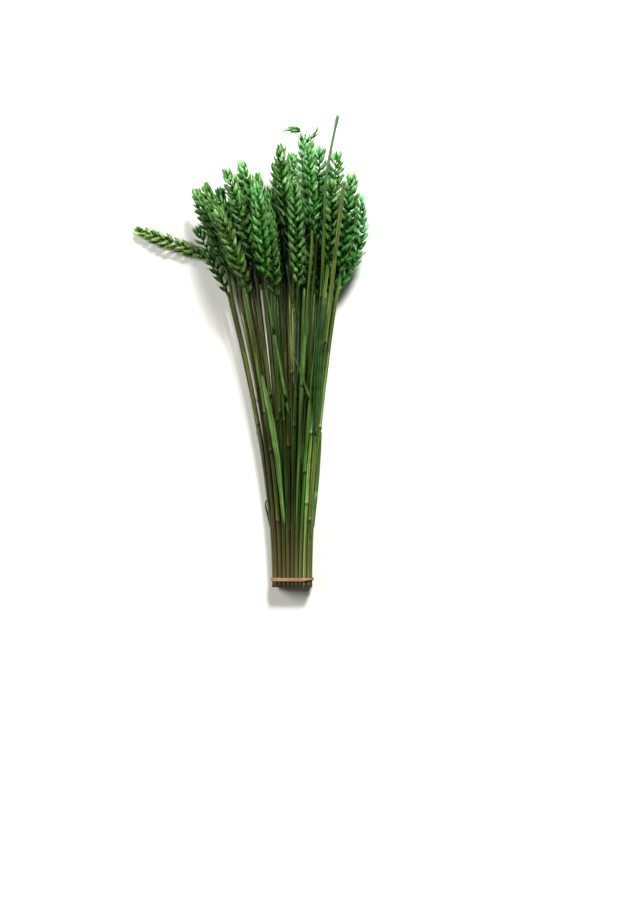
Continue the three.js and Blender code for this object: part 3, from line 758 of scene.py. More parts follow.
def spikelets(at, along, outward, size, lean, openness, share):
    """The husks and hairs of the spikelets at the given points.

    Each leans out by lean degrees. Share is how far up the ear it sits. Over the last quarter of the ear
    spikelets grow slimmer, and towards the tip their husks are paler, by the square of the share. A hair
    starts at the tip of its husk and goes on the husk's way, a little to its back.
    """
    count = len(at)
    shape = (count, len(HUSKS))
    side, up, off, tilt, facing, long, half, thick, bow = np.broadcast_to(HUSKS.T[:, None], (9, *shape))
    lean = lean[:, None] + random.normal(0, LEAN_SPREAD, shape)
    lean = np.radians(lean + random.normal(0, FAN_LEAN_SPREAD, (count, 1)))
    slim = np.interp(share, *SLIM_ALONG)[:, None]
    tilt = np.radians(tilt * slim + random.normal(0, TILT_SPREAD, shape) + OPEN_TILT * openness)
    facing = np.radians(facing + random.normal(0, FACING_SPREAD, shape))
    along, outward, at = along[:, None], outward[:, None], at[:, None]
    across = np.cross(along, outward)
    way = along * np.cos(lean)[..., None] + outward * np.sin(lean)[..., None]
    out = outward * np.cos(lean)[..., None] - along * np.sin(lean)[..., None]
    sideways = across * side[..., None]
    husk_way = way * np.cos(tilt)[..., None] + sideways * np.sin(tilt)[..., None]
    back = out * np.cos(facing)[..., None] + sideways * np.sin(facing)[..., None]
    back = square_part(back, husk_way)
    size = size[:, None] * random.uniform(*HUSK_SIZES, shape)
    half = half * slim**0.5 * random.uniform(*HUSK_WIDTHS, shape)
    foot = at + outward * (FOOT_OUT * size)[..., None] + way * (up * size)[..., None]
    foot = foot + sideways * (off * slim * size)[..., None]
    flare = random.uniform(*HUSK_FLARES, shape) + OPEN_FLARE * openness * ~IS_GLUME
    tone = FOOT_TONE + TONE_RISE * share[:, None]**2
    tone = tone + random.normal(0, TONE_SPREAD, shape) + random.normal(0, FAN_TONE_SPREAD, (count, 1))
    tone = np.clip(tone, 0, 1)
    shaped = foot, husk_way, back, long * size, half * size, thick * size, bow + 0 * size, flare, tone
    flat = [x.reshape(-1, *x.shape[2:]) for x in shaped]
    body = husks(*flat, HUSK_SHARES, husk_girth)
    foot, husk_way, back, long, half, thick, bow, flare, tone = flat
    tips = foot + husk_way * (0.97 * long)[:, None] + back * (0.94 * flare * long)[:, None]
    is_awn = random.random(len(tips)) < AWN_SHARE + AWN_SHARE * openness
    awn_long = random.uniform(*AWN_LENGTHS, len(tips))
    hair_long = np.where(is_awn, awn_long, random.uniform(*HAIR_LENGTHS, len(tips)))
    hair_long *= np.where(np.tile(IS_GLUME, count), GLUME_HAIR, 1)
    hair_out = random.normal(HAIR_OUT + OPEN_HAIR_OUT * openness, HAIR_OUT_SPREAD, len(tips))
    hair_way = unit(husk_way + back * hair_out[:, None])
    bent = random.normal(HAIR_BEND, HAIR_BEND_SPREAD, len(tips))
    hairs = husks(tips - hair_way * HAIR_ROOT, hair_way, square_part(back, hair_way),
                  hair_long + HAIR_ROOT, HAIR_RADIUS, HAIR_RADIUS, 0.0, bent, HAIR_TONE,
                  HAIR_SHARES, hair_girth, sides=3)
    return [body, hairs]


# %% A whole ear
TIP_LENGTH = 11.0  # of the spikelet at the very tip
TIP_SIZE = 0.95
TIP_LEAN = 2.0
SPIKELET_PITCH = 4.0  # along the axis, so 8 on each side
EAR_SINK = 1.5  # how far below the neck the first spikelet sits
OPENNESS = 0.1, 0.45  # where the list gives none
SIZE_ALONG = [0, 0.06, 0.18, 0.7, 1], [0.62, 0.82, 1, 1, 0.82]  # share of the ear, size of a spikelet
LEAN_ALONG = [0, 0.15, 0.7, 0.88, 1], [20, 30, 28, 23, 13]  # and how far it leans out, in degrees
OPEN_LEAN = 5
ROW_SWAY = 5  # degrees by which the rows wind to and fro
ROW_SPREAD = 7  # degrees by which single spikelets stray from them
ZIGZAG = 0.5
AXIS_ALONG = [0, 0.05, 0.12, 1], [1.0, 1.5, 1.1, 0.6]  # share of the axis, its radius
# a dark tone for the axis, painted shade among the husks
AXIS_PAINTED_SHADE_TONE = 0.25


def ear_of(line, start, stalk):
    """The husks, hairs and zigzag axis of an ear on the line from the length start to its end.

    The share s of the ear at the i-th of n spikelets is w (1.25 - 0.25 w), with w = i / (n - 0.7), so that
    they stand a little closer towards the tip. The last one looks straight ahead. It is turned by a
    quarter, as on real wheat.
    """
    whole = lengths_along(line)[-1]
    girth = stalk.get("girth", 1)
    openness = stalk.get("open", random.uniform(*OPENNESS))
    turn = np.radians(stalk["turn"])
    count = int(round((whole - TIP_LENGTH - start) / SPIKELET_PITCH))
    way = np.arange(count) / (count - 0.7)
    share = way * (1.25 - 0.25 * way)
    where = start - EAR_SINK + share * (whole - TIP_LENGTH - start + EAR_SINK)
    at, along = points_at(line, where)
    side = np.where(np.arange(count) % 2, -1.0, 1.0)
    sway = np.radians(ROW_SWAY) * np.sin(3 * share + turn)
    sway = sway + np.radians(random.normal(0, ROW_SPREAD, count))
    rows = square_to(along, turn + sway) * side[:, None]
    size = np.interp(share, *SIZE_ALONG) * girth
    lean = np.interp(share, *LEAN_ALONG) + OPEN_LEAN * openness
    skins = spikelets(at, along, rows, size, lean, openness, share)
    top, top_along = points_at(line, [whole - TIP_LENGTH - 1])
    top_row = np.cross(top_along, rows[-1:])
    top_size, top_lean = np.array([TIP_SIZE * girth]), np.array([TIP_LEAN])
    skins += spikelets(top, top_along, top_row, top_size, top_lean, openness, np.array([1.0]))
    bend = np.linspace(start - 5, whole - TIP_LENGTH + 3, 3 * count)
    axis_at, axis_along = points_at(line, bend)
    swing = np.interp(bend, where, ZIGZAG * side)
    axis = axis_at + square_to(axis_along, turn) * swing[:, None]
    lengths = lengths_along(axis)
    radius = np.interp(lengths / lengths[-1], *AXIS_ALONG)
    axis_skin = tube(axis, lengths, radius, np.full(len(lengths), AXIS_PAINTED_SHADE_TONE), sides=8)
    axis_skin["finish"] = CHAFF_SLOT
    return [*skins, axis_skin]


print("an ear of 90 mm has", round((90 - TIP_LENGTH) / SPIKELET_PITCH) + 1, "spikelets")

# %% [markdown]
# ## Straws
#
# A wheat stem is a hollow straw with a few knots. From each knot grows a leaf, whose lower part wraps
# the straw as a sheath and ends in a lip higher up. The straw is a tube round the stalk's line: its
# radius narrows from foot to neck, swells at the knots and steps down at the end of each sheath.

# %% Straws, knots and sheaths
KNOT_FROM = 0.42  # the upper knot is between these shares of the way to the neck
KNOT_TO = 0.62
KNOT_SWELL = 1.35
KNOT_HALF = 1.5  # half the length of a knot
LOWER_KNOTS = 0.4  # of the straws have a lower knot
LOWER_KNOT_AT = 0.16, 0.26
STRAW_STEP = 6.0  # between rings where nothing changes
SHEATH_THICK = 0.13
SHEATH_LENGTHS = 35, 95
TONES = 0.0, 0.95
SHEATH_TONE = 0.16  # lighter than the straw
KNOT_TONE = 0.35  # darker
RING_TONE = 0.3  # lighter, at most, in a ring above the knot
HOLLOW_FOOT = 4.0
HOLLOW_TIP = 3.0
DOME_HIGH = 1.6  # a closed tip ends in a dome
DOME_SHARES = np.array([0.0, 0.5, 0.8, 0.97])
DOME_RADII = np.array([1.0, 0.85, 0.58, 0.2])


def knot_of(index, line, neck):
    """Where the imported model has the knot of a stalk, as a length along its line."""
    seeded = abs(np.sin(12.9898 * (index + 1)) * 43758.5453) % 1
    return (KNOT_FROM + (KNOT_TO - KNOT_FROM) * seeded) * neck


def smooth_step(x, start, end):
    """0 before start, 1 after end, 3t^2 - 2t^3 between."""
    t = np.clip((x - start) / (end - start), 0, 1)
    return t * t * (3 - 2 * t)


def straw_of(line, neck, index, stalk):
    """The straw of a stalk, from its hollow cut foot to just inside the ear, or to its own cut end.

    The radius narrows evenly from foot to neck. It is SHEATH_THICK more from a knot to the lip of its
    sheath, and the knot itself swells it by a bell curve to KNOT_SWELL times. The tone follows the same
    curves.
    """
    knots = [knot_of(index, line, neck)]
    if random.random() < LOWER_KNOTS:
        knots.append(neck * random.uniform(*LOWER_KNOT_AT))
    sheaths = [knot + random.uniform(*SHEATH_LENGTHS) for knot in knots]
    near = [knot + np.linspace(-5, 5, 15) for knot in knots]
    near += [lip + np.linspace(-2, 2, 7) for lip in sheaths]
    where = np.unique(np.concatenate([np.arange(0, neck, STRAW_STEP), [neck], *near]))
    where = where[(where >= 0) & (where <= neck)]
    radius = np.interp(where, [0, neck], [STEM_FOOT_R, STEM_NECK_R * stalk.get("thick", 1)])
    tone = np.full(len(where), stalk.get("tone", random.uniform(*TONES)))
    pale = random.uniform(0, 1, len(knots))**2
    for knot, lip, light in zip(knots, sheaths, pale):
        wrapped = smooth_step(where, knot, knot + 2) * (1 - smooth_step(where, lip - 0.6, lip + 0.6))
        radius = radius + SHEATH_THICK * wrapped
        radius = radius * (1 + (KNOT_SWELL - 1) * np.exp(-((where - knot) / KNOT_HALF)**2))
        tone = tone + SHEATH_TONE * wrapped
        tone = tone - KNOT_TONE * np.exp(-((where - knot) / 1.2)**2)
        tone = tone + RING_TONE * light * np.exp(-((where - knot - 3) / 1.0)**2)
    hollow_tip = 0.0
    if "bare" in stalk:
        hollow_tip = HOLLOW_TIP
        end = stalk.get("end", 1.0)
        radius = radius * (1 + (end - 1) * smooth_step(where, neck - 16, neck - 5))
        if end > 1:
            hollow_tip = 0.0
            dome = neck - DOME_HIGH * (1 - DOME_SHARES)
            below = where < dome[0] - 0.3
            radius = np.concatenate([radius[below], radius[-1] * DOME_RADII])
            tone = np.concatenate([tone[below], [0.8, 0.9, 0.9, 0.9]])
            where = np.concatenate([where[below], dome])
            tone[where > neck - 8] += 0.25
    return tube(line, where, radius, tone, sides=12, inner_foot=HOLLOW_FOOT, inner_tip=hollow_tip)


print("a straw is", 2 * STEM_FOOT_R, "mm thick at its foot and", 2 * STEM_NECK_R, "mm at its neck")

# %% [markdown]
# ## Leaf blades
#
# A few dried blades are still on. Each leaves its stem, lies over the stems in front of it, and is folded
# along its middle rib. For its height the script asks what lies under each point of it, which is the
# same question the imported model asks, of the same round beads. The last two in the list, along the right
# edge of the stems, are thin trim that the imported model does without.

# %% The list of blades
# tone, then the path as x, y and width
BLADES = [
    (0.25, [(-6, 61, 3), (-13, 130, 6), (-19, 168, 7), (-23, 188, 6), (-28, 213, 2)]),
    (-0.15, [(-1, 170, 2), (-8, 210, 3.4), (-17, 260, 3), (-24, 298, 1)]),
    (-0.1, [(21, 186, 1.6), (12, 212, 2.8), (2, 238, 1.2)]),
    (-0.3, [(7, 258, 1.8), (2, 288, 2.6), (-4, 328, 2.6), (-8, 358, 1)]),
    (0.2, [(20, 47, 1.2), (22.6, 62, 3.6), (25.1, 85, 4), (27.9, 112, 3.8), (30.1, 138, 3), (31.5, 156, 1)]),
    (-0.45, [(25, 150, 2.5), (26, 178, 7), (27.5, 208, 9.5), (29, 238, 9), (32, 268, 6), (35, 290, 2)]),
]
print(len(BLADES), "blades, the widest", max(at[2] for _, path in BLADES for at in path), "mm wide")

# %% What lies under a point
STEM_BEADS = 161
cover, cover_r, cover_of = [], [], []
for stalk in STALKS:
    line = lines[stalk["name"]]
    stem, _ = points_at(line, np.linspace(0, lengths_along(line)[-1], STEM_BEADS))
    stem = stem[stem[:, 1] < COLLAR_Y]
    beads, beads_r = beads_of(stalk, levels[stalk["name"]])
    cover += [stem, beads]
    cover_r += [(STEM_FOOT_R + (STEM_NECK_R - STEM_FOOT_R) * stem[:, 1] / COLLAR_Y) * KNOT_SWELL, beads_r]
    cover_of += [stalk["name"]] * (len(stem) + len(beads))
cover, cover_r = np.vstack(cover), np.concatenate(cover_r)


def top_under(x, y, half):
    """The highest point of the beads under a strip of half-width half, and the stalk that it is on."""
    off = np.hypot(np.maximum(0, abs(cover[:, 0] - x) - half), cover[:, 1] - y)
    top = np.where(off < cover_r, cover[:, 2] + np.sqrt(np.maximum(0, cover_r**2 - off**2)), 0)
    return top.max(), cover_of[top.argmax()]


print(len(cover), "beads, the highest point", round((cover[:, 2] + cover_r).max(), 1), "mm up")

# %% Blades
BLADE_THICK = 0.35
BLADE_STEP = 6.0
BLADE_FILL = 0.92  # of its width in the list
BLADE_FOLD = 0.35  # how steeply the two halves rise from the middle rib
BLADE_ROLL = 0.35  # radians
BLADE_RISE = 0.3  # over the least gap to what lies under it
BLADE_WAVE = 0.12
WAVE_LENGTH = 3.7
ACROSS = 7  # points across each face


def blade_skin(light, path):
    """A folded blade on a path of x, y and width. Light is its tone.

    Across, v from -1 to 1: out by BLADE_FILL v * width / 2, and up by the fold, BLADE_FOLD |v| width / 2,
    and by small waves along the edges. The lower face runs back under the upper one at BLADE_THICK, and
    the edges are thin. Along it, the blade rolls to and fro by a sine.
    """
    path = np.array(path, float)
    flat = np.vstack([
        a + (b - a) * (np.arange(n) / n)[:, None]
        for a, b in zip(path, path[1:]) for n in [int(np.ceil(np.hypot(*(b - a)[:2]) / BLADE_STEP))]
    ] + [path[-1:]])
    tops = np.array([top_under(x, y, width / 2)[0] for x, y, width in flat])
    tops = np.maximum(tops, np.maximum(np.append(tops[1:], 0), np.append(0, tops[:-1])))
    host = top_under(path[0, 0], path[0, 1], 0)[1]
    middle = np.column_stack([flat[:, :2], tops + CLEAR + BLADE_RISE])
    stem = lines[host]
    middle[0] = stem[abs(stem[:, 1] - path[0, 1]).argmin()]
    line = smooth_line(middle)[::8]
    widths = np.interp(line[:, 1], flat[:, 1], flat[:, 2])
    run = lengths_along(line)
    _, along = points_at(line, run)
    v = np.concatenate([np.linspace(1, -1, ACROSS), np.linspace(-1, 1, ACROSS)])
    face = np.where(np.arange(2 * ACROSS) < ACROSS, -1, 1)
    thick = BLADE_THICK / 2 * np.sqrt(np.maximum(0.04, 1 - v**2)) * face
    roll = BLADE_ROLL * np.sin(run / run[-1] * 4 + path[0, 0])
    side = square_to(along, roll)
    up = square_to(along, roll - np.pi / 2)
    wave = BLADE_WAVE * np.sin(run[:, None] / WAVE_LENGTH + 2 * v) * v**2
    rise = BLADE_FOLD * abs(v) * widths[:, None] / 2 + wave + thick
    out = v * widths[:, None] / 2 * BLADE_FILL
    rings = line[:, None] + side[:, None] * out[..., None] + up[:, None] * rise[..., None]
    grain = np.stack(np.broadcast_arrays(2 * out, rise, run[:, None] + 0 * out), axis=-1).reshape(-1, 3)
    grain = np.vstack([grain, grain[:1], grain[-1:]]) + 40 * path[0, 0]
    tone = np.full(len(grain), light)
    share = np.repeat(run / run[-1], 2 * ACROSS)
    share = np.concatenate([share, [0, 1]])
    ends = rings.mean(axis=1)
    return host, ring_skin(rings[None], ends[:1], ends[-1:], grain, tone, share, 0 * share, LEAF_SLOT)


blades = [blade_skin(light, path) for light, path in BLADES]
print("the blades grow from", [host for host, _ in blades])

# %% [markdown]
# ## A torn sheath
#
# Near the foot of the outermost straw on the left the dry sheath has split. A strip of it has sprung off
# and kinks outwards. It is a thin tube that narrows to both ends, beside the middle line of that straw.

# %% The strip of sheath
SHEATH_STRIP = [(-19.3, 55), (-22.3, 71), (-24.8, 84), (-22.0, 90.5)]
STRIP_END_R = 0.45
STRIP_SWELL = 0.55  # more, halfway
STRIP_TONE = 0.35


def torn_sheath():
    """The strip, at the height of the outermost straw there, and the name of the stalk it belongs to."""
    path = np.array(SHEATH_STRIP, float)
    low_points = {name: line[line[:, 1].searchsorted(path[0, 1])] for name, line in lines.items()}
    host = min(low_points, key=lambda name: low_points[name][0])
    stem = lines[host]
    height = np.interp(path[:, 1], stem[:, 1], stem[:, 2])
    line = smooth_line(np.column_stack([path, height]))[::16]
    run = lengths_along(line)
    radius = STRIP_END_R + STRIP_SWELL * np.sin(np.pi * run / run[-1])
    return host, tube(line, run, radius, np.full(len(run), STRIP_TONE), sides=8, offset=0.0)


sheath_host, sheath_strip = torn_sheath()
print("the sheath is torn on", sheath_host)

# %% [markdown]
# ## A broken tip
#
# One ear has come apart at its tip: threads of its axis stick out, with a hanging spikelet on one and a
# single floret on another. They are given by where they lie in the picture, and their height is that of
# the ear.

# %% Threads and loose husks
BROKEN_EAR = "stalk_mid_6"
THREAD_FOOT_R = 0.55
THREAD_TIP_R = 0.35
THREAD_TONE = 0.3
THREAD_LIFT = 2  # how far a thread rises on its way
LOOSE_FOOT_LIFT = 1.5
LOOSE_TIP_LIFT = 1.0
LOOSE_BOW = 0.1
LOOSE_FLARE = 0.02
THREADS = [
    [(12, 441), (14, 448), (15, 451), (9, 457)],
    [(15, 450), (16.5, 455), (18.3, 458.8), (25, 459.2)],
    [(15, 442), (19, 448), (23, 453), (28, 457.5)],
    [(12, 444), (8, 451), (5, 454)],
    [(17, 444), (22, 449), (29, 454)],
    [(3, 456), (0, 453), (-3, 451)],
]
# foot, tip, half width, thickness, facing (0 sideways, 1 up), tone
LOOSE_HUSKS = [
    [(10.5, 456.0), (-1, 455.5), 2.5, 2.0, 0.7, -0.4],
    [(10.5, 457.5), (-4, 459.8), 1.9, 1.6, 0.6, -0.1],
    [(5, 458.6), (-9.5, 455.0), 1.9, 1.4, 0.8, 0.6],
    [(3, 456.5), (-8.5, 454.6), 1.3, 1.1, 0.5, -0.2],
    [(9, 455.0), (0, 453.0), 1.5, 1.2, 0.3, -0.5],
    [(20, 447), (28, 464.5), 1.3, 1.2, 0.3, -0.3],
    [(24, 454), (28.5, 459.5), 1.2, 1.0, 0.3, 0.0],
    [(20, 449), (29.5, 455), 1.0, 0.9, 0.3, -0.2],
    [(12, 446), (10, 456), 1.7, 1.4, 0.7, 0.2],
    [(16, 444), (20, 455), 1.7, 1.4, 0.5, 0.0],
]


def broken_tip(level):
    """Threads as thin tubes, and loose husks from their foot to their tip."""
    skins = []
    for path in THREADS:
        path = np.array(path, float)
        lift = np.linspace(0, THREAD_LIFT, len(path))
        line = smooth_line(np.column_stack([path, height_at(level, path[:, 1]) + lift]))[::16]
        run = lengths_along(line)
        radius = np.linspace(THREAD_FOOT_R, THREAD_TIP_R, len(run))
        thread = tube(line, run, radius, np.full(len(run), THREAD_TONE), sides=6)
        thread["finish"] = CHAFF_SLOT
        skins.append(thread)
    foot, tip = (np.array([husk[k] for husk in LOOSE_HUSKS], float) for k in (0, 1))
    half, thick, facing, tone = np.array([husk[2:] for husk in LOOSE_HUSKS]).T
    foot = np.column_stack([foot, height_at(level, foot[:, 1]) + LOOSE_FOOT_LIFT])
    tip = np.column_stack([tip, height_at(level, tip[:, 1]) + LOOSE_TIP_LIFT])
    way = unit(tip - foot)
    sideways = np.cross(way, [0.0, 0.0, 1.0])
    back = sideways * (1 - facing)[:, None] + np.array([0, 0, 1.0]) * facing[:, None]
    back = square_part(back, way)
    long = np.linalg.norm(tip - foot, axis=1)
    loose = husks(foot, way, back, long, half, thick, LOOSE_BOW, LOOSE_FLARE, tone, HUSK_SHARES, husk_girth)
    return [*skins, loose]


print("the broken tip has", len(THREADS), "threads and", len(LOOSE_HUSKS), "loose husks")

# %% [markdown]
# ## Finishes
#
# Dye takes unevenly. The ears are lighter and mint green towards their tops and olive lower down, and the
# straws run from olive to deep green, brown at the foot.
# Colour scales carry that, two for chaff (dyed and straw-coloured) and two for straw (olive and green).
# A scale is a list of places from 0 to 1, each with its colour.
# What picks the place on a scale is a sum: how high on the bundle, how the whole stalk took the dye, the
# tone of the husk or straw, soft patches of noise, and veins, which are noise stretched along the grain.
# On a husk the keel, the rims and the hair are paler, the rims partly as a painted highlight, and all of
# them more so higher up the bundle, as painted light. Its foot is dark, a painted shade where the husks
# below would shade it.
# Where a straw stands out above the ears it is a greyer green.

# %% Helpers for node materials


def add_node(material, kind, inputs=None, **settings):
    """A new node of the material. An input is a number, a colour or another node's output."""
    tree = material.node_tree
    node = tree.nodes.new(kind)
    for key, value in settings.items():
        setattr(node, key, value)
    for key, value in (inputs or {}).items():
        if isinstance(value, bpy.types.NodeSocket):
            tree.links.new(value, node.inputs[key])
        else:
            node.inputs[key].default_value = value
    return node


def sum_of(material, *terms):
    """The sum of terms, each a pair of an output and what it is multiplied by."""
    total = None
    for output, weight in terms:
        add = 0.0 if total is None else total
        inputs = {0: output, 1: weight, 2: add}
        total = add_node(material, "ShaderNodeMath", inputs, operation="MULTIPLY_ADD").outputs[0]
    return total


def number_on(material, name):
    """The piece's own number of that name."""
    return add_node(material, "ShaderNodeAttribute", attribute_name=name).outputs["Fac"]


def noise(material, vector, scale, stretch=(1.0, 1.0, 1.0), detail=3.0):
    """Noise from 0 to 1 on a vector that is first scaled along each axis."""
    mapped = add_node(material, "ShaderNodeMapping", {"Vector": vector, "Scale": stretch}).outputs[0]
    inputs = {"Vector": mapped, "Scale": scale, "Detail": detail}
    return add_node(material, "ShaderNodeTexNoise", inputs).outputs["Fac"]


def colour_scale(material, position, stops):
    """A colour ramp with stops of position and colour, read at position."""
    ramp = add_node(material, "ShaderNodeValToRGB", {"Fac": position})
    elements = ramp.color_ramp.elements
    while len(elements) < len(stops):
        elements.new(0.5)
    for element, (place, colour) in zip(elements, stops):
        element.position = place
        element.color = (*colour, 1.0)
    return ramp.outputs["Color"]


def mixed(material, share, first, second):
    """The first colour where share is 0 and the second where it is 1."""
    node = add_node(material, "ShaderNodeMix", {0: share, 6: first, 7: second}, data_type="RGBA")
    return node.outputs[2]


def ranged(material, value, low, high, to_low=0.0, to_high=1.0):
    """The value's way from low to high as a way from to_low to to_high, and no further."""
    inputs = {"Value": value, "From Min": low, "From Max": high, "To Min": to_low, "To Max": to_high}
    return add_node(material, "ShaderNodeMapRange", inputs).outputs[0]


def new_finish(name, **fixed):
    """A node material. What is the same all over is set on the shader's own sockets."""
    material = bpy.data.materials.new(name)
    material.use_nodes = True
    shader = material.node_tree.nodes["Principled BSDF"]
    for key, value in fixed.items():
        shader.inputs[key.replace("_", " ")].default_value = value
    return material, shader


def bumpy(material, shader, height, distance, strength=1.0):
    """Fine relief from a height between 0 and 1, distance metres high at most."""
    inputs = {"Height": height, "Distance": distance, "Strength": strength}
    bump = add_node(material, "ShaderNodeBump", inputs)
    material.node_tree.links.new(bump.outputs[0], shader.inputs["Normal"])


def painted(material, shader, colour, roughness):
    """Wires the colour and the roughness to the shader."""
    material.node_tree.links.new(colour, shader.inputs["Base Color"])
    material.node_tree.links.new(roughness, shader.inputs["Roughness"])


# %% Chaff: the husks and hairs of the ears
EARS_Y = 0.04, 0.215  # from a little below the ears to the highest tips, in metres of the row's frame
DYED_CHAFF = [
    (0.0, (0.005, 0.02, 0.0005)),
    (0.3, (0.018, 0.07, 0.001)),
    (0.55, (0.018, 0.15, 0.004)),
    (0.78, (0.03, 0.3, 0.035)),
    (1.0, (0.36, 0.74, 0.42)),
]
STRAW_COLOURED_CHAFF = [
    (0.0, (0.03, 0.04, 0.004)),
    (0.5, (0.12, 0.19, 0.03)),
    (1.0, (0.62, 0.72, 0.34)),
]
# the pale of rims, veins and hairs; on the rims it is partly a painted highlight
PALE_RIM_AND_HIGHLIGHT = (0.47, 0.76, 0.34, 1.0)
DRY_BROWN = (0.12, 0.14, 0.025, 1.0)
# painted shade: the deep green at each husk's foot, where the husks below would shade it
PAINTED_FOOT_SHADE = (0.002, 0.034, 0.0005, 1.0)


def chaff_finish():
    """Husks by the sum of height, dye, tone, patches and veins.

    Over that lie pale rims, veins and hairs, which fade down the bundle as painted light, the rims partly
    a painted highlight, dry brown spots, and at each husk's foot a deep green painted shade that is gone
    by 0.45 of its length.
    """
    material, shader = new_finish("chaff_finish", Specular_IOR_Level=0.08)
    place = add_node(material, "ShaderNodeTexCoord").outputs["Object"]
    apart = add_node(material, "ShaderNodeSeparateXYZ", {0: place})
    height = ranged(material, apart.outputs["Y"], *EARS_Y)
    grain = add_node(material, "ShaderNodeAttribute", attribute_name="grain").outputs["Vector"]
    tone, dye, share, edge = (number_on(material, key) for key in ("tone", "dye", "share", "edge"))
    patches = noise(material, place, 38.0)
    veins = ranged(material, noise(material, grain, 1.0, (1.2, 1.2, 0.12), 4.0), 0.36, 0.64)
    where = sum_of(material, (height, 0.42), (dye, 0.4), (tone, 0.45), (patches, 0.5), (veins, 0.4))
    where = ranged(material, where, 0.55, 1.65)
    colour = colour_scale(material, where, DYED_CHAFF)
    warm_colour = colour_scale(material, where, STRAW_COLOURED_CHAFF)
    colour = mixed(material, number_on(material, "warm"), colour, warm_colour)
    dry = noise(material, place, 90.0)
    # painted light: the pale marks fade down the bundle, away from where the light falls
    painted_light_by_height = ranged(material, height, 0.0, 1.0, 0.1, 1.0)
    rim = add_node(material, "ShaderNodeMath", {0: edge, 1: share}, operation="MULTIPLY").outputs[0]
    on_rim, on_vein = ranged(material, rim, 0.15, 0.8), ranged(material, veins, 0.6, 1.0)
    on_hair = ranged(material, tone, 0.85, 0.95)
    pale = sum_of(material, (on_rim, 0.65), (on_vein, 0.25), (on_hair, 0.4))
    pale_and_painted_highlight = add_node(material, "ShaderNodeMath", {0: pale, 1: painted_light_by_height}, operation="MULTIPLY").outputs[0]
    colour = mixed(material, pale_and_painted_highlight, colour, PALE_RIM_AND_HIGHLIGHT)
    brown = ranged(material, dry, 0.6, 0.74, 0.0, 0.3)
    colour = mixed(material, brown, colour, DRY_BROWN)
    # painted shade at each husk's foot, gone by 0.45 of its length
    shade = ranged(material, share, 0.0, 0.45, 0.95, 0.0)
    colour = mixed(material, shade, colour, PAINTED_FOOT_SHADE)
    painted(material, shader, colour, ranged(material, veins, 0.3, 0.7, 0.3, 0.5))
    bumpy(material, shader, veins, 0.0005, 0.8)
    return material


# %% Straw: the stems
FOOT_Y = -0.236, -0.15  # the cut ends, and where the brown of the feet is gone
ABOVE_EARS_Y = 0.13, 0.2  # where a bare straw begins to turn grey, and where it is
OLIVE_STRAW = [
    (0.0, (0.006, 0.008, 0.001)),
    (0.3, (0.03, 0.036, 0.004)),
    (0.6, (0.09, 0.11, 0.014)),
    (0.85, (0.2, 0.23, 0.055)),
    (1.0, (0.44, 0.46, 0.22)),
]
GREEN_STRAW = [
    (0.0, (0.004, 0.012, 0.001)),
    (0.3, (0.014, 0.05, 0.003)),
    (0.6, (0.04, 0.14, 0.008)),
    (0.85, (0.12, 0.26, 0.05)),
    (1.0, (0.36, 0.5, 0.25)),
]
FOOT_BROWN = (0.13, 0.095, 0.04, 1.0)
GREY_GREEN = (0.12, 0.2, 0.12, 1.0)
RUDDY_BROWN = (0.13, 0.07, 0.02, 1.0)
SPECK_BROWN = (0.1, 0.05, 0.02, 1.0)


def straw_finish():
    """Straws by the sum of dye, tone, patches and stripes.

    The green scale takes over from the olive one where the straw's own green and its patches say so.
    Over that lie the brown of the foot, the grey above the ears, ruddy streaks and small brown specks.
    """
    material, shader = new_finish("straw_finish", Specular_IOR_Level=0.3)
    place = add_node(material, "ShaderNodeTexCoord").outputs["Object"]
    apart = add_node(material, "ShaderNodeSeparateXYZ", {0: place})
    foot = ranged(material, apart.outputs["Y"], *FOOT_Y, 1.0, 0.0)
    grain = add_node(material, "ShaderNodeAttribute", attribute_name="grain").outputs["Vector"]
    tone, dye, green = (number_on(material, key) for key in ("tone", "dye", "green"))
    stripes = ranged(material, noise(material, grain, 1.0, (1.3, 1.3, 0.012), 3.0), 0.33, 0.67)
    patches = noise(material, grain, 1.0, (0.15, 0.15, 0.03), 3.0)
    where = sum_of(material, (dye, 0.2), (tone, 0.75), (patches, 0.5), (stripes, 0.6))
    where = ranged(material, where, 0.6, 1.5)
    olive_straw = colour_scale(material, where, OLIVE_STRAW)
    green_straw = colour_scale(material, where, GREEN_STRAW)
    deep = sum_of(material, (green, 1.0), (patches, 0.8))
    colour = mixed(material, ranged(material, deep, 0.6, 1.2), olive_straw, green_straw)
    colour = mixed(material, ranged(material, foot, 0.0, 1.0, 0.0, 0.55), colour, FOOT_BROWN)
    above_ears = ranged(material, apart.outputs["Y"], *ABOVE_EARS_Y, 0.0, 0.6)
    colour = mixed(material, above_ears, colour, GREY_GREEN)
    ruddy = noise(material, grain, 1.0, (0.5, 0.5, 0.008), 3.0)
    colour = mixed(material, ranged(material, ruddy, 0.55, 0.72, 0.0, 0.5), colour, RUDDY_BROWN)
    specks = noise(material, place, 160.0)
    colour = mixed(material, ranged(material, specks, 0.66, 0.72, 0.0, 0.6), colour, SPECK_BROWN)
    painted(material, shader, colour, ranged(material, stripes, 0.3, 0.7, 0.3, 0.5))
    bumpy(material, shader, stripes, 0.0002, 0.5)
    return material


# %% Leaf: the dried blades
LEAF_GREENS = [
    (0.25, (0.005, 0.022, 0.002)),
    (0.5, (0.02, 0.07, 0.008)),
    (0.75, (0.055, 0.14, 0.018)),
    (1.0, (0.2, 0.32, 0.1)),
]


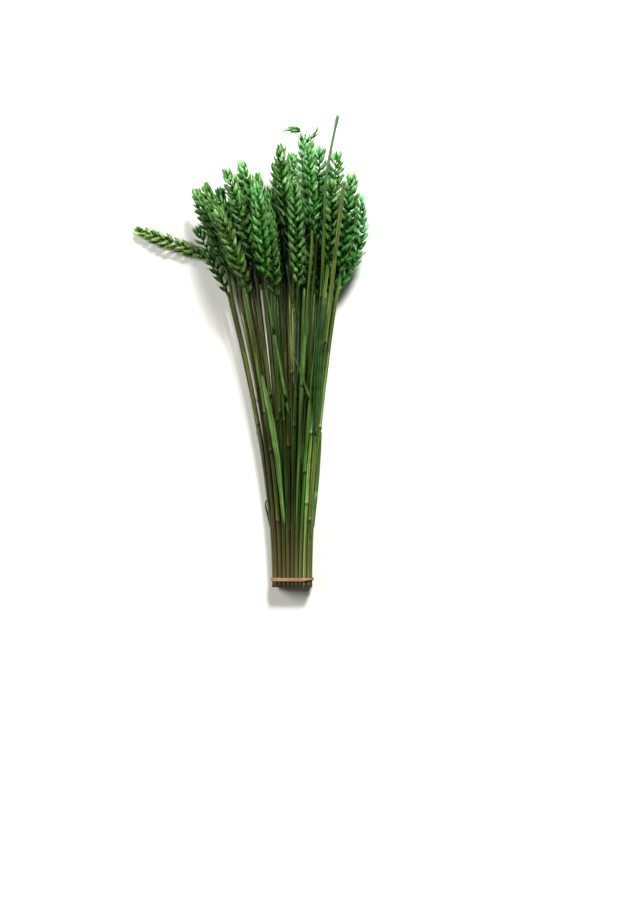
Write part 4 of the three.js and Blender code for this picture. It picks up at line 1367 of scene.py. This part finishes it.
def leaf_finish():
    """Blades by the sum of their fine ribs, of patches and of their own tone."""
    material, shader = new_finish("leaf_finish", Specular_IOR_Level=0.3)
    place = add_node(material, "ShaderNodeTexCoord").outputs["Object"]
    grain = add_node(material, "ShaderNodeAttribute", attribute_name="grain").outputs["Vector"]
    ribs = ranged(material, noise(material, grain, 1.0, (1.3, 1.3, 0.008), 3.0), 0.35, 0.65)
    patches = noise(material, place, 60.0)
    where = sum_of(material, (ribs, 0.7), (patches, 0.4), (number_on(material, "tone"), 0.5))
    colour = colour_scale(material, where, LEAF_GREENS)
    painted(material, shader, colour, ranged(material, ribs, 0.0, 1.0, 0.4, 0.55))
    bumpy(material, shader, ribs, 0.0002, 0.5)
    return material


# %% Rubber
TAN_RUBBER = [
    (0.25, (0.2, 0.1, 0.045)),
    (0.55, (0.3, 0.165, 0.075)),
    (0.8, (0.4, 0.25, 0.13)),
]
DUST_TAN = (0.55, 0.47, 0.36, 1.0)


def rubber_finish():
    """Tan rubber, cloudy, and dusted with fine specks that are paler, rougher and a little raised."""
    material, shader = new_finish("rubber_finish", Specular_IOR_Level=0.4)
    place = add_node(material, "ShaderNodeTexCoord").outputs["Object"]
    cloudy = noise(material, place, 120.0)
    dust = noise(material, place, 1400.0)
    colour = colour_scale(material, cloudy, TAN_RUBBER)
    colour = mixed(material, ranged(material, dust, 0.6, 0.8, 0.0, 0.35), colour, DUST_TAN)
    painted(material, shader, colour, ranged(material, dust, 0.3, 0.7, 0.5, 0.75))
    bumpy(material, shader, dust, 0.0001, 0.4)
    return material


chaff, straw, leaf, rubber = chaff_finish(), straw_finish(), leaf_finish(), rubber_finish()
print("finishes:", chaff.name, straw.name, leaf.name, rubber.name)

# %% [markdown]
# ## Growing the bundle
#
# Each stalk is one piece, as it is one plant: its straw, and on it its ear, or a blade, a strip of torn
# sheath or the threads of the broken tip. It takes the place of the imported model's plainer solid.

# %% One piece for each stalk
PRESS_BELOW = 1.5
PRESS_ROOM = 1.35
DYE = 0.5  # in the middle of the bundle, where the list gives none
DYE_ACROSS = 0.001  # more for each millimetre to the right
DYE_SPREAD = 0.12
GREEN = 0.5
GREEN_ACROSS = 0.007
GREEN_SPREAD = 0.2


def pressed(height):
    """Husks that would go under the table lie flat on it.

    Below PRESS_BELOW, a height z becomes PRESS_BELOW - PRESS_ROOM (1 - e^((z - PRESS_BELOW) / PRESS_ROOM)).
    """
    low = np.minimum(height, PRESS_BELOW)
    flat = PRESS_BELOW - PRESS_ROOM + PRESS_ROOM * np.exp((low - PRESS_BELOW) / PRESS_ROOM)
    return np.where(height < PRESS_BELOW, flat, height)


def grow(index, stalk):
    """The piece of one stalk. Gives its numbers of points and triangles and its volume."""
    name = stalk["name"]
    line, neck = lines[name], necks[name]
    skins = [straw_of(line, neck, index, stalk)]
    if "bare" not in stalk:
        skins += ear_of(line, neck, stalk)
    skins += [skin for host, skin in blades if host == name]
    if name == sheath_host:
        skins.append(sheath_strip)
    if name == BROKEN_EAR:
        skins += broken_tip(levels[name])
    side = stalk.get("neck", stalk.get("bare", [[0]])[0])[0]
    dye = stalk.get("dye", DYE + DYE_ACROSS * side + random.normal(0, DYE_SPREAD))
    green = stalk.get("green", GREEN + GREEN_ACROSS * side + random.normal(0, GREEN_SPREAD))
    warm = stalk.get("warm", 0.0)
    skin = joined(skins)
    skin["points"][:, 2] = pressed(skin["points"][:, 2])
    piece = piece_of("wheat_" + name.split("_", 1)[1], skin, [straw, chaff, leaf],
                     dye=dye, green=green, warm=warm)
    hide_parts(name)
    return len(skin["points"]), len(skin["tris"]) + 2 * len(skin["quads"]), volume_of(skin)


made = [grow(index, stalk) for index, stalk in enumerate(STALKS)]
print("stalks:", len(made), "with", sum(m[1] for m in made), "triangles, the most", max(m[1] for m in made))
print("every stalk encloses a positive volume:", all(m[2] > 0 for m in made))

# %% [markdown]
# ## The rubber band
#
# The band is one endless loop of tan rubber that is wound three times round the stems and crosses over
# itself on top. Its line is the outline round the outermost stems, which is found by asking, for every
# direction, which stem reaches furthest that way.

# %% The band
BAND_TURNS = 3
BAND_STRAND = 1.15  # the strand's thickness
BAND_CLEAR = 0.12
BAND_CROSSING = 0.16  # of a turn
BAND_LIFT = 1.1  # of the strand's thickness, where it crosses
BAND_SIDES = 12
BAND_STEPS = 96  # in a turn
BAND_SQUARE = 0.6  # a strand's cross-section is round at 1 and square at 0
BAND_CLOSE = 0.98  # how far its turns are apart, against its thickness


def outline_round(reach, samples=720):
    """The closed outline at a distance from the places' hull, as points by equal steps, from the top."""
    angle = np.pi / 2 + np.linspace(0, 2 * np.pi, samples, endpoint=False)
    way = np.column_stack([np.cos(angle), np.sin(angle)])
    furthest = places[(places @ way.T).argmax(axis=0)]
    corner = furthest + reach * way
    corner = np.vstack([corner, corner[:1]])
    run = lengths_along(corner)
    return lambda share: np.column_stack([
        np.interp((share % 1) * run[-1], run, corner[:, k]) for k in range(2)])


def band_skin():
    """A strand round the outline: it moves along the stems evenly for three turns and crosses back.

    Its cross-section at angle a is sign(cos a) |cos a|^BAND_SQUARE to the side, and the same of the sine
    outwards.
    """
    outline = outline_round(STEM_FOOT_R + BAND_CLEAR + BAND_STRAND / 2)
    turn = np.linspace(0, BAND_TURNS, BAND_STEPS * BAND_TURNS, endpoint=False)
    back = smooth_step(turn, BAND_TURNS - BAND_CROSSING, BAND_TURNS)
    span = BAND_TURNS * BAND_STRAND
    rise = span * ((turn / BAND_TURNS - 0.5) * (1 - back) - 0.5 * back)
    over = np.clip((turn - BAND_TURNS + BAND_CROSSING) / BAND_CROSSING, 0, 1)
    lift = BAND_LIFT * BAND_STRAND * np.sin(np.pi * over)
    flat = outline(turn)
    ahead = outline(turn + 0.003) - outline(turn - 0.003)
    normal = unit(np.column_stack([ahead[:, 1], -ahead[:, 0]]))
    flat = flat + normal * lift[:, None]
    middle = np.column_stack([flat[:, 0], BAND_Y + rise * BAND_CLOSE, BAND_Z + flat[:, 1]])
    out = np.column_stack([normal[:, 0], 0 * rise, normal[:, 1]])
    along = unit(np.roll(middle, -1, axis=0) - np.roll(middle, 1, axis=0))
    side = np.cross(out, along)
    angle = 2 * np.pi * np.arange(BAND_SIDES) / BAND_SIDES
    square = [np.sign(f(angle)) * abs(f(angle))**BAND_SQUARE * BAND_STRAND / 2 for f in (np.cos, np.sin)]
    rings = middle[:, None] + side[:, None] * square[0][:, None] + out[:, None] * square[1][:, None]
    count = len(rings)
    i, k = (x.ravel() for x in np.meshgrid(np.arange(count), np.arange(BAND_SIDES), indexing="ij"))
    near, far = BAND_SIDES * i, BAND_SIDES * ((i + 1) % count)
    k_next = (k + 1) % BAND_SIDES
    quads = np.column_stack([near + k, near + k_next, far + k_next, far + k])
    if (unit(np.cross(rings[0, 1] - rings[0, 0], along[0])) * (rings[0, 0] - middle[0])).sum() < 0:
        quads = quads[:, ::-1]
    points = rings.reshape(-1, 3)
    return dict(points=points, quads=quads, tris=np.empty((0, 3), int), grain=points.copy(),
                tone=np.full(len(points), 0.5), share=np.full(len(points), 0.5),
                edge=np.zeros(len(points)), finish=np.zeros(len(quads)))


band = band_skin()
print("the band's volume is", round(volume_of(band)), "cubic mm")
piece = piece_of("rubber_band_loop", band, [rubber])
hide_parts("rubber_band")
